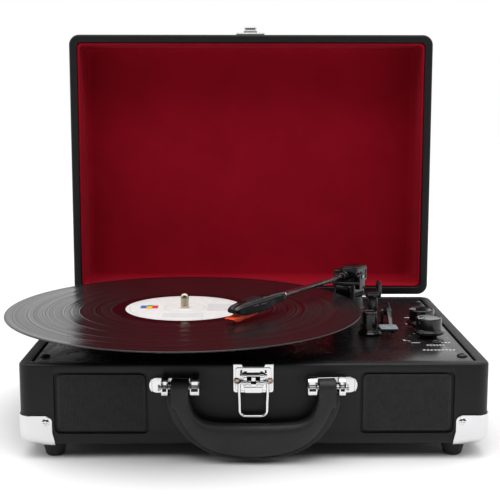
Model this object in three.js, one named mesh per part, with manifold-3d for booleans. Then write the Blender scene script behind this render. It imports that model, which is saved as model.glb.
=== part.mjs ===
// Suitcase record player, open, with a record on the platter and the arm lowered.
// Millimetres. X to the right, Y to the back, Z up.
// The origin is the middle of the flat underside of the case; the feet reach below it.
import * as THREE from 'three';
import { mergeVertices } from 'three/addons/utils/BufferGeometryUtils.js';
import Module from 'manifold-3d';

const wasm = await Module();
wasm.setup();

// ---- driving dimensions ---------------------------------------------------------------
const GAP = 0.3; // clearance between pieces that touch
const CASE_W = 357;
const CASE_D = 258;
const CASE_H = 63;
const WALL = 9.5;
const CORNER_R = 10; // vertical corners of the case and the lid
const FRONT = -CASE_D / 2;
const BACK = CASE_D / 2;

const FOOT_H = 12;
const FOOT_X = 154;
const FOOT_Y = 114;
const FOOT_R = 9.8;

const DECK_TOP = 62;
const DECK_T = 3;
const DECK_SCREW_X = 162;
const DECK_SCREW_Y = 103;

const GRILLE_X = 115.6;
const GRILLE_Z = 32.8;
const GRILLE_W = 71.5;
const GRILLE_H = 48.2;
const GRILLE_R = 4.5;

const SPINDLE_X = -58.3;
const SPINDLE_Y = -19;
const RECORD_R = 150.8; // a 12 inch record
const RECORD_TOP = 83;
const RECORD_T = 1.2;
const LABEL_R = 51.5;
const PLATTER_R = 92;
const PLATTER_BOTTOM = 70; // low edge of its rim
const PLATTER_TOP = 79.6;

const PIVOT_X = 91; // vertical axis of the tonearm
const PIVOT_Y = 68;
const ARM_Z = 96; // height of the arm tube and of its lift axis
const ARM_ANGLE = -124; // degrees from +X, arm over the record
const PARK_ANGLE = -78; // arm in its rest
const REST_RADIUS = 69; // from the vertical axis to the arm rest

const KNOB_X = 147.6;
const KNOB_Y = [-39.5, -6];
const KNOB_TOP = 79;
const SWITCH_X = [22, 52];
const SWITCH_Y = 108;

const FITTINGS_X = -0.8; // centre line of the handle and the latch
const PIN_Y = FRONT - 8.5; // handle pins
const PIN_Z = 47.2;

const LID_D = 56;
const LID_WALL = 7.6;
const LID_PANEL = 5;
const LINING = 2.2;
const LID_OPEN = 91; // degrees from closed
const HINGE_Y = BACK + 2.4;
const HINGE_Z = CASE_H - 1.2;
const HINGE_X = 110;
const RIM_GAP = 0.5; // between the two rims when the lid is down

// ---- materials ------------------------------------------------------------------------
const LEATHERETTE = [0x232326, 0.55, 0];
const PLASTIC = [0x151517, 0.4, 0];
const GLOSS = [0x0c0c0e, 0.15, 0];
const CHROME = [0xe6e6e8, 0.12, 1];
const STEEL = [0x9a9ca0, 0.3, 1];
const ALUMINIUM = [0xd4d4d8, 0.25, 1];
const RUBBER = [0x111112, 0.9, 0];
const VELVET = [0xa00c1e, 0.95, 0];
const VINYL = [0x141012, 0.2, 0];
const RED = [0xd8321c, 0.35, 0];
const GREY = [0x9fa4aa, 0.4, 0];
const BOARD = [0x2d5a34, 0.6, 0];
const BRASS = [0xb89a58, 0.3, 1];

// ---- solids ---------------------------------------------------------------------------
const rad = (degrees) => (degrees * Math.PI) / 180;
const both = [-1, 1];

// A three.js geometry, turned and then moved, as a solid that can be joined and cut.
function solid(geometry, [x, y, z] = [0, 0, 0], [rx, ry, rz] = [0, 0, 0]) {
  const turned = geometry.clone();
  turned.rotateX(rx);
  turned.rotateY(ry);
  turned.rotateZ(rz);
  turned.translate(x, y, z);
  turned.deleteAttribute('normal');
  turned.deleteAttribute('uv');
  const merged = mergeVertices(turned, 1e-4);
  const corners = Array.from(merged.index.array);
  const faces = [];
  for (let i = 0; i < corners.length; i += 3) {
    const [a, b, c] = corners.slice(i, i + 3);
    if (a !== b && b !== c && c !== a) faces.push(a, b, c);
  }
  const vertProperties = new Float32Array(merged.attributes.position.array);
  const triVerts = new Uint32Array(faces);
  return new wasm.Manifold(new wasm.Mesh({ numProp: 3, vertProperties, triVerts }));
}

const join = (...solids) => solids.reduce((sum, next) => sum.add(next));
const cut = (body, ...tools) => tools.reduce((rest, tool) => rest.subtract(tool), body);

function box(w, d, h, at) {
  return solid(new THREE.BoxGeometry(w, d, h), at);
}

// A cylinder or cone, r1 at the low end of its axis, centred on `at`.
function rod(r1, r2, length, at, axis = 'z', sides = 16) {
  const turn = { x: [0, 0, -Math.PI / 2], y: [0, 0, 0], z: [Math.PI / 2, 0, 0] }[axis];
  return solid(new THREE.CylinderGeometry(r2, r1, length, sides), at, turn);
}

// A profile of [radius, height] points turned about the Z axis.
function turned(profile, at, sides = 32) {
  const points = profile.map(([r, z]) => new THREE.Vector2(r, z));
  return solid(new THREE.LatheGeometry(points, sides), at, [Math.PI / 2, 0, 0]);
}

function roundedRect(w, h, r) {
  const shape = new THREE.Shape();
  shape.moveTo(-w / 2 + r, -h / 2);
  shape.lineTo(w / 2 - r, -h / 2);
  shape.absarc(w / 2 - r, -h / 2 + r, r, -Math.PI / 2, 0, false);
  shape.lineTo(w / 2, h / 2 - r);
  shape.absarc(w / 2 - r, h / 2 - r, r, 0, Math.PI / 2, false);
  shape.lineTo(-w / 2 + r, h / 2);
  shape.absarc(-w / 2 + r, h / 2 - r, r, Math.PI / 2, Math.PI, false);
  shape.lineTo(-w / 2, -h / 2 + r);
  shape.absarc(-w / 2 + r, -h / 2 + r, r, Math.PI, Math.PI * 1.5, false);
  return shape;
}

function outline(points) {
  return new THREE.Shape(points.map(([x, y]) => new THREE.Vector2(x, y)));
}

// A flat outline in XY, raised from z0 to z1, with an optional rounded edge.
function slab(shape, z0, z1, at = [0, 0, 0], edge = 0, curveSegments = 2) {
  const geometry = new THREE.ExtrudeGeometry(shape, {
    depth: z1 - z0 - 2 * edge,
    bevelEnabled: edge > 0,
    bevelThickness: edge,
    bevelSize: edge,
    bevelOffset: -edge,
    bevelSegments: 2,
    curveSegments,
  });
  return solid(geometry, [at[0], at[1], at[2] + z0 + edge]);
}

// A flat outline in XZ, as seen from the front, from y0 back to y1.
function frontSlab(shape, y0, y1, at = [0, 0, 0], edge = 0, curveSegments = 2) {
  const flat = slab(shape, 0, y1 - y0, [0, 0, 0], edge, curveSegments);
  return flat.rotate([90, 0, 0]).translate([at[0], y1 + at[1], at[2]]);
}

// A round bar along a smooth path.
function wire(points, radius, steps) {
  const path = new THREE.CatmullRomCurve3(
    points.map((p) => new THREE.Vector3(...p)), false, 'catmullrom', 0.5);
  const section = new THREE.Shape();
  section.absarc(0, 0, radius, 0, Math.PI * 2, false);
  const geometry = new THREE.ExtrudeGeometry(section, {
    steps, extrudePath: path, curveSegments: 4, bevelEnabled: false });
  return solid(geometry);
}

// ---- scene graph ----------------------------------------------------------------------
const player = new THREE.Group();

function assembly(parent, at = [0, 0, 0], turn = [0, 0, 0]) {
  const group = new THREE.Group();
  group.position.set(...at);
  group.rotation.set(...turn);
  parent.add(group);
  return group;
}

function addPart(group, name, body, [color, roughness, metalness]) {
  const mesh = body.getMesh();
  const geometry = new THREE.BufferGeometry();
  geometry.setAttribute('position', new THREE.BufferAttribute(mesh.vertProperties, 3));
  geometry.setIndex(new THREE.BufferAttribute(mesh.triVerts, 1));
  geometry.computeVertexNormals();
  const material = new THREE.MeshStandardMaterial({ color, roughness, metalness });
  const part = new THREE.Mesh(geometry, material);
  part.name = name;
  group.add(part);
}

// ---- case -----------------------------------------------------------------------------
const INSIDE_W = CASE_W - 2 * WALL;
const INSIDE_D = CASE_D - 2 * WALL;
const PANEL_T = 6;
const JACK_Z = 28;
const POWER_X = 120;
const RCA_X = 84;

function caseShell() {
  const outer = slab(roundedRect(CASE_W, CASE_D, CORNER_R), 0, CASE_H, [0, 0, 0], 2, 3);
  const hollow = slab(roundedRect(INSIDE_W, INSIDE_D, 3), -1, CASE_H + 1);
  const recess = roundedRect(GRILLE_W, GRILLE_H, GRILLE_R);
  const speakerHoles = both.map((side) => frontSlab(
    recess, FRONT - 1, FRONT + 2.4, [side * GRILLE_X, 0, GRILLE_Z]));
  const coneHoles = both.map((side) => rod(20, 20, 2 * WALL,
    [side * GRILLE_X, FRONT + WALL / 2, GRILLE_Z], 'y', 20));
  const powerHole = rod(4.3, 4.3, 3 * WALL, [POWER_X, BACK, JACK_Z], 'y', 20);
  const rcaHole = box(27, 3 * WALL, 13, [RCA_X, BACK, JACK_Z]);
  return cut(outer, hollow, ...speakerHoles, ...coneHoles, powerHole, rcaHole);
}

function bottomPanel() {
  const w = INSIDE_W - 2 * GAP;
  const d = INSIDE_D - 2 * GAP;
  const panel = slab(roundedRect(w, d, 3), 0, PANEL_T);
  const vents = [-28, -20, -12, 12, 20, 28].map((y) => box(60, 3.5, 20, [0, y, 0]));
  return cut(panel, ...vents);
}

function deckPlate() {
  const plate = slab(roundedRect(INSIDE_W - 1, INSIDE_D - 1, 3), DECK_TOP - DECK_T, DECK_TOP);
  const holes = [
    rod(5.5, 5.5, 12, [SPINDLE_X, SPINDLE_Y, DECK_TOP], 'z', 16),
    rod(5, 5, 12, [MOTOR_X, MOTOR_Y, DECK_TOP]),
    rod(4.4, 4.4, 12, [PIVOT_X, PIVOT_Y, DECK_TOP]),
    rod(3.4, 3.4, 12, [KNOB_X, KNOB_Y[0], DECK_TOP]),
    rod(3.4, 3.4, 12, [KNOB_X, KNOB_Y[1], DECK_TOP]),
    rod(3.3, 3.3, 12, [JACK_X, JACK_Y, DECK_TOP]),
    rod(2.6, 2.6, 12, [...LIFT_AT, DECK_TOP]),
    ...SWITCH_X.map((x) => box(15, 5, 12, [x, SWITCH_Y, DECK_TOP])),
  ];
  for (const x of both) {
    for (const y of both) {
      holes.push(rod(2.1, 2.1, 12, [x * DECK_SCREW_X, y * DECK_SCREW_Y, DECK_TOP], 'z', 8));
    }
  }
  return cut(plate, ...holes);
}

// Cross-head screw: a domed head on the deck, and a shank through it.
function deckScrew(x, y) {
  const profile = [[0, -9], [1.6, -9], [1.6, 0], [4.1, 0], [3.7, 0.8], [2.2, 1.6], [0, 1.9]];
  const screw = turned(profile, [x, y, DECK_TOP + GAP], 12);
  const slotAt = [x, y, DECK_TOP + 2];
  return cut(screw, box(4.6, 0.9, 1.4, slotAt), box(0.9, 4.6, 1.4, slotAt));
}

function foot(x, y) {
  const profile = [[0, -FOOT_H], [6, -FOOT_H], [7, -FOOT_H + 1], [FOOT_R, -GAP], [0, -GAP]];
  return turned(profile, [x, y, 0], 20);
}

// Pressed corner guard over the low corner of the case, open to the inside.
function cornerGuard(sideX, sideY) {
  const size = 27.3;
  const height = 23;
  const skin = 1;
  const x0 = sideX * (CASE_W / 2 - size + skin);
  const y0 = sideY * (CASE_D / 2 - size + skin);
  const square = roundedRect(2 * size, 2 * size, CORNER_R + skin);
  const block = slab(square, -skin - GAP, height, [x0, y0, 0], 1);
  const quarter = box(2 * size, 2 * size, 3 * height,
    [x0 + sideX * size, y0 + sideY * size, 0]);
  const inner = slab(roundedRect(CASE_W + 2 * GAP, CASE_D + 2 * GAP, CORNER_R + GAP), -GAP, CASE_H);
  const footRoom = rod(FOOT_R + 1, FOOT_R + 1, 8, [sideX * FOOT_X, sideY * FOOT_Y, 0], 'z', 20);
  const shell = cut(block.intersect(quarter), inner, footRoom);
  const headAt = [sideX * (CASE_W / 2 - 20.7), sideY * (CASE_D / 2 + 1.4), 18.4];
  const head = sideY < 0 ? rod(2, 2.6, 1.2, headAt, 'y') : rod(2.6, 2, 1.2, headAt, 'y');
  return join(shell, head);
}

// ---- speakers -------------------------------------------------------------------------
function grille(side) {
  const w = GRILLE_W - 1.6;
  const h = GRILLE_H - 1.6;
  const at = [side * GRILLE_X, 0, GRILLE_Z];
  return frontSlab(roundedRect(w, h, GRILLE_R - 0.8), FRONT + 0.4, FRONT + 2, at, 0.5);
}

// Loudspeaker: cone, basket and magnet, held behind the front wall.
function speaker(side) {
  const y = FRONT + WALL + GAP;
  const profile = [
    [0, 10], [9, 7.5], [18, 1.5], [21, 0], [25, 0], [25, 2.2], [14, 14], [16, 14], [16, 24], [0, 24]];
  return turned(profile, [0, 0, 0], 24).rotate([-90, 0, 0]).translate([side * GRILLE_X, y, GRILLE_Z]);
}

// ---- electrics ------------------------------------------------------------------------
const MOTOR_X = -140;
const MOTOR_Y = 62;
const PULLEY_R = 4.2;
const JACK_X = 150;
const JACK_Y = -60;

function motor() {
  const under = DECK_TOP - DECK_T;
  const can = rod(16, 16, 24, [MOTOR_X, MOTOR_Y, under - 15.6], 'z', 24);
  const flange = slab(roundedRect(46, 20, 8), under - 3.6, under - GAP, [MOTOR_X, MOTOR_Y, 0]);
  const shaftHole = rod(1.6, 1.6, 12, [MOTOR_X, MOTOR_Y, under]);
  return cut(join(can, flange), shaftHole);
}

function motorPulley() {
  const profile = [
    [0, -6], [1.2, -6], [1.2, 4.5], [PULLEY_R, 5], [PULLEY_R, 6], [3.6, 7.2], [PULLEY_R, 8.4],
    [PULLEY_R, 9.4], [0, 9.4]];
  return turned(profile, [0, 0, 0], 14);
}

// Flat belt round the motor pulley and the hub under the platter.
const HUB_R = 40;
function belt() {
  const loop = (grow) => {
    const dx = MOTOR_X - SPINDLE_X;
    const dy = MOTOR_Y - SPINDLE_Y;
    const distance = Math.hypot(dx, dy);
    const heading = Math.atan2(dy, dx);
    const big = HUB_R + grow;
    const small = PULLEY_R + grow;
    const lean = Math.acos((big - small) / distance);
    const shape = new THREE.Shape();
    shape.absarc(0, 0, big, heading + lean, heading - lean + 2 * Math.PI, false);
    shape.absarc(dx, dy, small, heading - lean, heading + lean, false);
    return slab(shape, DECK_TOP + 6.6, DECK_TOP + 8, [SPINDLE_X, SPINDLE_Y, 0], 0, 12);
  };
  return cut(loop(1.4), loop(0.4));
}

function circuitBoard() {
  const board = box(110, 60, 1.6, [105, 60, 12]);
  const standoffs = [[60, 40], [150, 40], [60, 80], [150, 80]].map(
    ([x, y]) => rod(3, 3, 5.4, [x, y, PANEL_T + GAP + 2.5], 'z', 12));
  const chips = [
    box(14, 8, 3, [90, 60, 14]),
    rod(5, 5, 12, [120, 70, 18]),
    rod(4, 4, 9, [135, 55, 16]),
  ];
  return join(board, ...standoffs, ...chips);
}

// Power inlet and a pair of phono sockets on one moulded rear plate.
function rearSockets() {
  const left = RCA_X - 15.5;
  const right = POWER_X + 8;
  const plate = box(right - left, 1.4, 17, [(left + right) / 2, BACK + 1, JACK_Z]);
  const inlet = rod(4, 4, 14, [POWER_X, BACK - 6, JACK_Z], 'y', 20);
  const inletBore = rod(2.8, 2.8, 16, [POWER_X, BACK - 2, JACK_Z], 'y', 20);
  const inletPin = rod(0.8, 0.8, 10, [POWER_X, BACK - 7, JACK_Z], 'y', 10);
  const phonoBody = box(26, 13, 12, [RCA_X, BACK - 6, JACK_Z]);
  const sleeves = both.map((side) => rod(4.1, 4.1, 9, [RCA_X + side * 7, BACK + 4, JACK_Z], 'y', 20));
  const bores = both.map((side) => rod(1.7, 1.7, 12, [RCA_X + side * 7, BACK + 4, JACK_Z], 'y', 12));
  return join(cut(join(plate, inlet, phonoBody, ...sleeves), inletBore, ...bores), inletPin);
}

function headphoneJack() {
  const collar = rod(4.4, 4, 1.4, [JACK_X, JACK_Y, DECK_TOP + GAP + 0.7], 'z', 20);
  const sleeve = rod(3, 3, 14, [JACK_X, JACK_Y, DECK_TOP - 6], 'z', 20);
  const bore = rod(1.8, 1.8, 14, [JACK_X, JACK_Y, DECK_TOP - 2], 'z', 16);
  return cut(join(collar, sleeve), bore);
}

// Volume potentiometer and rotary function switch, soldered to one narrow board.
function controlBoard() {
  const under = DECK_TOP - DECK_T - GAP;
  const board = box(20, 56, 1.6, [KNOB_X, (KNOB_Y[0] + KNOB_Y[1]) / 2, under - 9.6]);
  const cans = KNOB_Y.map((y) => rod(8.5, 8.5, 9, [KNOB_X, y, under - 4.5], 'z', 24));
  const bushes = KNOB_Y.map((y) => rod(3, 3, 6, [KNOB_X, y, DECK_TOP - 2.7], 'z', 16));
  const bores = KNOB_Y.map((y) => rod(1.8, 1.8, 16, [KNOB_X, y, DECK_TOP], 'z', 16));
  return cut(join(board, ...cans, ...bushes), ...bores);
}

// ---- platter --------------------------------------------------------------------------
// Heights in this group are measured from the underside of the case.
function platter() {
  const profile = [
    [0, DECK_TOP - 8], [3.4, DECK_TOP - 8], [3.4, DECK_TOP + 2.6], [HUB_R, DECK_TOP + 2.6],
    [HUB_R, PLATTER_TOP - 7], [PLATTER_R - 5, PLATTER_TOP - 7], [PLATTER_R - 4, PLATTER_BOTTOM],
    [PLATTER_R, PLATTER_BOTTOM], [PLATTER_R, PLATTER_TOP - 1], [PLATTER_R - 1, PLATTER_TOP - 0.9],
    [0, PLATTER_TOP - 0.9]];
  const disc = turned(profile, [0, 0, 0], 48);
  return cut(disc, rod(3.8, 3.8, 20, [0, 0, PLATTER_TOP], 'z', 12));
}

function slipMat() {
  const top = RECORD_TOP - RECORD_T - GAP;
  const low = PLATTER_TOP - 0.6;
  const profile = [[4, low], [PLATTER_R - 4, low], [PLATTER_R - 4, top], [4, top]];
  return turned([...profile, profile[0]], [0, 0, 0], 48);
}

function spindle() {
  const base = PLATTER_TOP - 10 + GAP;
  const tip = RECORD_TOP + 13;
  const profile = [
    [0, base], [3.5, base], [3.5, tip - 2.6], [3.1, tip - 1.2], [1.9, tip - 0.3], [0, tip]];
  return turned(profile, [0, 0, 0], 12);
}

// Pressed record; its label is the raised middle.
function record() {
  const under = RECORD_TOP - RECORD_T;
  const profile = [
    [3.85, under], [RECORD_R, under], [RECORD_R, RECORD_TOP - 0.2], [LABEL_R + 1, RECORD_TOP - 0.2],
    [LABEL_R, RECORD_TOP], [3.85, RECORD_TOP]];
  return turned([...profile, profile[0]], [0, 0, 0], 64);
}

// ---- tonearm --------------------------------------------------------------------------
// Fixed housing on the deck that carries the vertical bearing.
function tonearmBase() {
  const profile = [
    [0, DECK_TOP - 9], [4, DECK_TOP - 9], [4, DECK_TOP + GAP], [19, DECK_TOP + GAP], [19, DECK_TOP + 2.4],
    [14.5, DECK_TOP + 4], [13.5, DECK_TOP + 14.6], [0, DECK_TOP + 14.6]];
  const housing = turned(profile, [PIVOT_X, PIVOT_Y, 0], 28);
  return cut(housing, rod(3.4, 3.4, 30, [PIVOT_X, PIVOT_Y, DECK_TOP + 8], 'z', 20));
}

// Turning yoke. In the arm's group +X points to the headshell and z is from the tube's middle.
const BOX_SIDE = [-5, 11.5]; // sides of the rear block, across the arm
const TUBE_R = 2.5;
function armYoke() {
  const low = DECK_TOP + 15 - ARM_Z;
  const hub = slab(roundedRect(26, 20, 5), low, -8.6, [0, 1.5, 0], 0.8);
  const stub = rod(3, 3, 20, [0, 0, low - 8], 'z', 20);
  const inner = box(10, 8, 16.5, [0, BOX_SIDE[0] - 4.6, -3.75]);
  const outer = box(10, 2.8, 15, [0, BOX_SIDE[1] + 2, -4.5]);
  const floor = box(10, 6, 3, [0, BOX_SIDE[1], -10.1]);
  const bearing = rod(1.5, 1.5, 60, [0, 0, 0], 'y', 14);
  return cut(join(hub, stub, inner, outer, floor), bearing);
}

function armAxle() {
  const length = BOX_SIDE[1] - BOX_SIDE[0] + 8;
  return rod(1.2, 1.2, length, [0, (BOX_SIDE[0] + BOX_SIDE[1]) / 2, 0], 'y', 12);
}

// Rear block with the counterweight; the tube and the axle pass into it.
function rearBlock() {
  const w = BOX_SIDE[1] - BOX_SIDE[0];
  const middle = (BOX_SIDE[0] + BOX_SIDE[1]) / 2;
  const body = slab(roundedRect(22, w, 2), -6.4, 8.6, [-6, middle, 0], 1.2);
  const collar = rod(4.4, 3.9, 11, [9.5, 0, 0], 'x', 20);
  const axleHole = rod(1.5, 1.5, 60, [0, 0, 0], 'y', 14);
  const tubeHole = rod(TUBE_R + GAP, TUBE_R + GAP, 20, [14, 0, 0], 'x');
  return cut(join(body, collar), axleHole, tubeHole);
}

const TUBE_END = 128;
function armTube() {
  return rod(TUBE_R, TUBE_R, TUBE_END - 5, [(TUBE_END + 5) / 2, 0, 0], 'x');
}

// Long tapered headshell, turned a few degrees inward.
const SHELL_TURN = -5.5;
const SHELL_START = 120;
const SHELL_LENGTH = 64;
function headshell() {
  const top = outline([
    [-1, -4.1], [12, -4.6], [28, -7.2], [SHELL_LENGTH - 5, -7.2], [SHELL_LENGTH, -4.5],
    [SHELL_LENGTH, 4.5], [SHELL_LENGTH - 5, 7.2], [28, 7.2], [12, 4.6], [-1, 4.1]]);
  const side = outline([
    [-2, -3.7], [14, -4.8], [26, -7.2], [SHELL_LENGTH - 8, -7.2], [SHELL_LENGTH + 1, -4],
    [SHELL_LENGTH + 1, -1], [SHELL_LENGTH - 12, 2.8], [26, 3.8], [10, 3.8], [-2, 3.6]]);
  const plan = slab(top, -12, 12);
  const section = slab(side, -12, 12).rotate([90, 0, 0]);
  const hollow = box(34, 11, 8, [42, 0, -6.6]);
  const socket = rod(TUBE_R + GAP, TUBE_R + GAP, 24, [SHELL_START + 1, 0, 0], 'x');
  return cut(inShell(cut(plan.intersect(section), hollow)), socket);
}

function inShell(body) {
  return body.rotate([0, 0, SHELL_TURN]).translate([SHELL_START, 0, 0]);
}

const STYLUS_Z = RECORD_TOP + 0.35 - ARM_Z;
function cartridge() {
  const side = outline([
    [38, -3], [38, -8.2], [51, -9.6], [62, -11.2], [64.6, STYLUS_Z], [65.2, STYLUS_Z],
    [66.6, -10.6], [69, -8.2], [58.6, -7.8], [58.6, -3]]);
  return inShell(slab(side, -4.8, 4.8).rotate([90, 0, 0]));
}

// ---- arm rest and cueing ----------------------------------------------------------------
function fromPivot(radius, angle) {
  return [PIVOT_X + radius * Math.cos(rad(angle)), PIVOT_Y + radius * Math.sin(rad(angle))];
}

const REST_AT = fromPivot(REST_RADIUS, PARK_ANGLE);
const LIFT_RADIUS = 24;
const LIFT_AT = fromPivot(LIFT_RADIUS, PARK_ANGLE - 8);

// Arm rest: a post with a low lip on the record's side and a tall one outside.
function armRest() {
  const [x, y] = REST_AT;
  const foundation = slab(roundedRect(20, 14, 4), DECK_TOP + GAP, DECK_TOP + 2.6, [x, y, 0]);
  const post = slab(roundedRect(8, 7, 2), DECK_TOP + 2, ARM_Z - 7, [x, y, 0]);
  const clip = outline([
    [-5.5, -8], [6.6, -8], [7, 0], [6.2, 5.5], [4.8, 6.5], [3.9, 5.5], [3.9, -3.2], [-2.6, -3.2],
    [-5, -3.3], [-5.8, -5]]);
  const fork = frontSlab(clip, -3.4, 3.4).rotate([0, 0, PARK_ANGLE + 90]).translate([x, y, ARM_Z]);
  return join(foundation, post, fork, cueBracket());
}

// Damper of the cueing lift: a barrel on a wide flange.
const DAMPER_X = 99.5;
const DAMPER_Y = -29;
function damper() {
  const profile = [
    [0, 0], [9.8, 0], [9.8, 1.8], [8.4, 3.2], [6.4, 3.8], [6.2, 18.6], [5.4, 19.8], [0, 19.8]];
  return turned(profile, [DAMPER_X, DAMPER_Y, DECK_TOP + GAP], 20);
}

// Cue lever, in its own group: it turns on a cross pin beside the arm rest.
const CUE_X = 116.5;
const CUE_Y = -4;
const CUE_Z = 76;
function cueLever() {
  const arm = outline([
    [3, 9], [-4, 10], [-16, 5.5], [-26, -1], [-31, -5.5], [-44, -6], [-44, -9], [-30, -8.8],
    [-23, -5], [-14, 1.2], [-4, 5], [-3, -3], [3, -3]]);
  const bar = slab(arm, -1.6, 1.6).rotate([90, 0, 0]).rotate([0, 0, 90]);
  const paddle = slab(roundedRect(15, 15, 2), -7.6, -4, [-3.2, -38, 0], 0.8);
  const pinHole = rod(1.5, 1.5, 20, [0, 0, 0], 'x', 14);
  return cut(join(bar, paddle), pinHole);
}

// Ears that carry the lever, moulded in one with the arm rest.
function cueBracket() {
  const middle = (CUE_X + REST_AT[0]) / 2;
  const plate = slab(roundedRect(24, 14, 3), DECK_TOP + GAP, DECK_TOP + 2.4, [middle, CUE_Y, 0]);
  const ears = both.map((side) => box(1.8, 8, CUE_Z - DECK_TOP + 2,
    [CUE_X + side * 3.4, CUE_Y, (CUE_Z + DECK_TOP + 4) / 2]));
  const pin = rod(1.2, 1.2, 8, [CUE_X, CUE_Y, CUE_Z], 'x', 12);
  return join(plate, ...ears, pin);
}

// Curved lift bar under the arm tube, on its own sliding post.
function liftBar() {
  const ring = new THREE.Shape();
  const inner = rad(ARM_ANGLE - 8);
  const outer = rad(PARK_ANGLE + 5);
  ring.absarc(0, 0, LIFT_RADIUS + 1.6, inner, outer, false);
  ring.absarc(0, 0, LIFT_RADIUS - 1.6, outer, inner, true);
  const bar = slab(ring, ARM_Z - 5.6, ARM_Z - 3, [PIVOT_X, PIVOT_Y, 0], 0, 8);
  const post = rod(1.9, 1.9, 36, [...LIFT_AT, ARM_Z - 22]);
  return join(bar, post);
}

// ---- knobs and switches -----------------------------------------------------------------
// Knob, in its own group with z = 0 on the deck: skirt, grooved waist, grip and domed top.
function knob() {
  const h = KNOB_TOP - DECK_TOP;
  const profile = [
    [1.5, -8], [1.5, 0.8], [7, 0.8], [7.4, 2.2], [12.4, 3.4], [13, 4.4], [12.8, 6],
    [10.8, 6.8], [10.7, h - 1.8], [10.2, h - 0.7], [8, h - 0.1], [0, h + 0.3]];
  return turned([[0, -8], ...profile], [0, 0, 0], 28);
}

function slideButton() {
  const grip = box(5, 3.6, 7, [0, 0, 1.4]);
  const tongue = box(3, 2, 8, [0, 0, -4]);
  const wings = box(9, 7, 1.2, [0, 0, -DECK_T - 2.4]);
  return join(grip, tongue, wings);
}

// ---- handle -----------------------------------------------------------------------------
function bracket(side) {
  const tab = roundedRect(38, 12.6, 1.5);
  const plate = frontSlab(tab, FRONT - 1.7, FRONT - GAP, [side * 56.5 + FITTINGS_X, 0, PIN_Z]);
  const end = rod(6.3, 6.3, 1.4, [side * 73 + FITTINGS_X, FRONT - 1, PIN_Z], 'y', 24);
  const lugs = [[67.2, 4.6], [44.6, 6.6]].map(([x, w]) => {
    const shape = outline([[0.6, -5.6], [9, -5.6], [12.6, -3], [13, 1.6], [10.6, 4.8], [0.6, 4.8]]);
    return slab(shape, -w / 2, w / 2, [0, 0, 0], 0.6).rotate([90, 0, -90])
      .translate([side * x + FITTINGS_X, FRONT, PIN_Z]);
  });
  const pinHole = rod(1.9, 1.9, 60, [side * 56 + FITTINGS_X, PIN_Y, PIN_Z], 'x', 16);
  return cut(join(plate, end, ...lugs), pinHole);
}

function handlePin(side) {
  return rod(1.6, 1.6, 28.6, [side * 55.7 + FITTINGS_X, PIN_Y, PIN_Z], 'x', 16);
}

// Padded handle hanging from its pins, in a group whose origin is on the pin line.
const HANDLE_T = 12.6;
function handleOutline() {
  const shape = new THREE.Shape();
  const low = -55.8;
  shape.moveTo(-64, 0);
  shape.bezierCurveTo(-66.5, -22, -60, -35, -46, -44);
  shape.bezierCurveTo(-34, -51, -20, low, 0, low);
  shape.bezierCurveTo(20, low, 34, -51, 46, -44);
  shape.bezierCurveTo(60, -35, 66.5, -22, 64, 0);
  shape.lineTo(49.4, 0);
  shape.bezierCurveTo(48, -8, 45, -14, 40, -19.5);
  shape.bezierCurveTo(34, -26, 28, -27.4, 20, -27.4);
  shape.lineTo(-20, -27.4);
  shape.bezierCurveTo(-28, -27.4, -34, -26, -40, -19.5);
  shape.bezierCurveTo(-45, -14, -48, -8, -49.4, 0);
  shape.lineTo(-64, 0);
  return shape;
}

function handle() {
  const body = frontSlab(handleOutline(), -HANDLE_T / 2, HANDLE_T / 2, [0, 0, 0], 4.4, 6);
  const barrels = both.map((side) => rod(6.3, 6.3, 14.6, [side * 56.7, 0, 0], 'x', 24));
  const necks = both.map((side) => box(13.2, 10, 14, [side * 56.7, 0, -7]));
  const bores = both.map((side) => rod(2.2, 2.2, 40, [side * 56.7, 0, 0], 'x', 16));
  return cut(join(body, ...barrels, ...necks), ...bores);
}

// ---- latch ------------------------------------------------------------------------------
const LATCH_Y = FRONT - 4.8; // pivot line of the lever
const LATCH_Z = 55.5;
const BAIL_DROP = 5.5; // from the lever pivot to the bail pivot
function latchPlate() {
  const shape = roundedRect(30.4, 21, 2.4);
  const plate = frontSlab(shape, FRONT - 2, FRONT - GAP, [FITTINGS_X, 0, 52.1]);
  const notch = box(17, 6, 6, [FITTINGS_X, FRONT - 1, 63.4]);
  const window = box(12.4, 6, 11, [FITTINGS_X, FRONT - 1, 50]);
  const cheeks = both.map((side) => box(1.5, 6.2, 6.4,
    [FITTINGS_X + side * 9.2, FRONT - 4.8, LATCH_Z]));
  const rivets = both.map((side) => rod(1.5, 2.3, 1.3,
    [FITTINGS_X + side * 12.4, FRONT - 2.4, 50.6], 'y', 14));
  const holes = rod(1.3, 1.3, 40, [FITTINGS_X, LATCH_Y, LATCH_Z], 'x', 14);
  return cut(join(cut(plate, notch, window), ...cheeks, ...rivets), holes);
}

// Lever, in a group on its pivot line: a curved plate with its pin and the bail's two sockets.
function latchLever() {
  const side = outline([
    [-1.9, 1.9], [1.9, 1.9], [1.9, -6], [2.2, -8.6], [0.6, -13.6], [-1, -14.2], [-1.8, -12.8],
    [-1.2, -10.4], [-1.9, -6]]);
  const plate = slab(side, -7.6, 7.6).rotate([90, 0, 90]);
  const pin = rod(1, 1, 20.4, [0, 0, 0], 'x', 12);
  const sockets = rod(1.3, 1.3, 40, [0, 0, -BAIL_DROP], 'x', 12);
  return cut(join(plate, pin), sockets);
}

// Wire bail, in a group on its pivot line, hanging down.
function bail() {
  const w = 10.9;
  const drop = 26;
  const corner = 4;
  const half = [
    [-2.2, 0], [-8, 0], [-w + 0.9, -0.3], [-w, -1.6], [-w, -6], [-w, -12], [-w, -drop + corner],
    [-w + 1.2, -drop + 1.2], [-w + corner, -drop]];
  const mirrored = half.map(([x, z]) => [-x, z]).reverse();
  const points = [...half, [0, -drop], ...mirrored].map(([x, z]) => [x, 0, z]);
  return wire(points, 1.1, 40);
}

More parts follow.
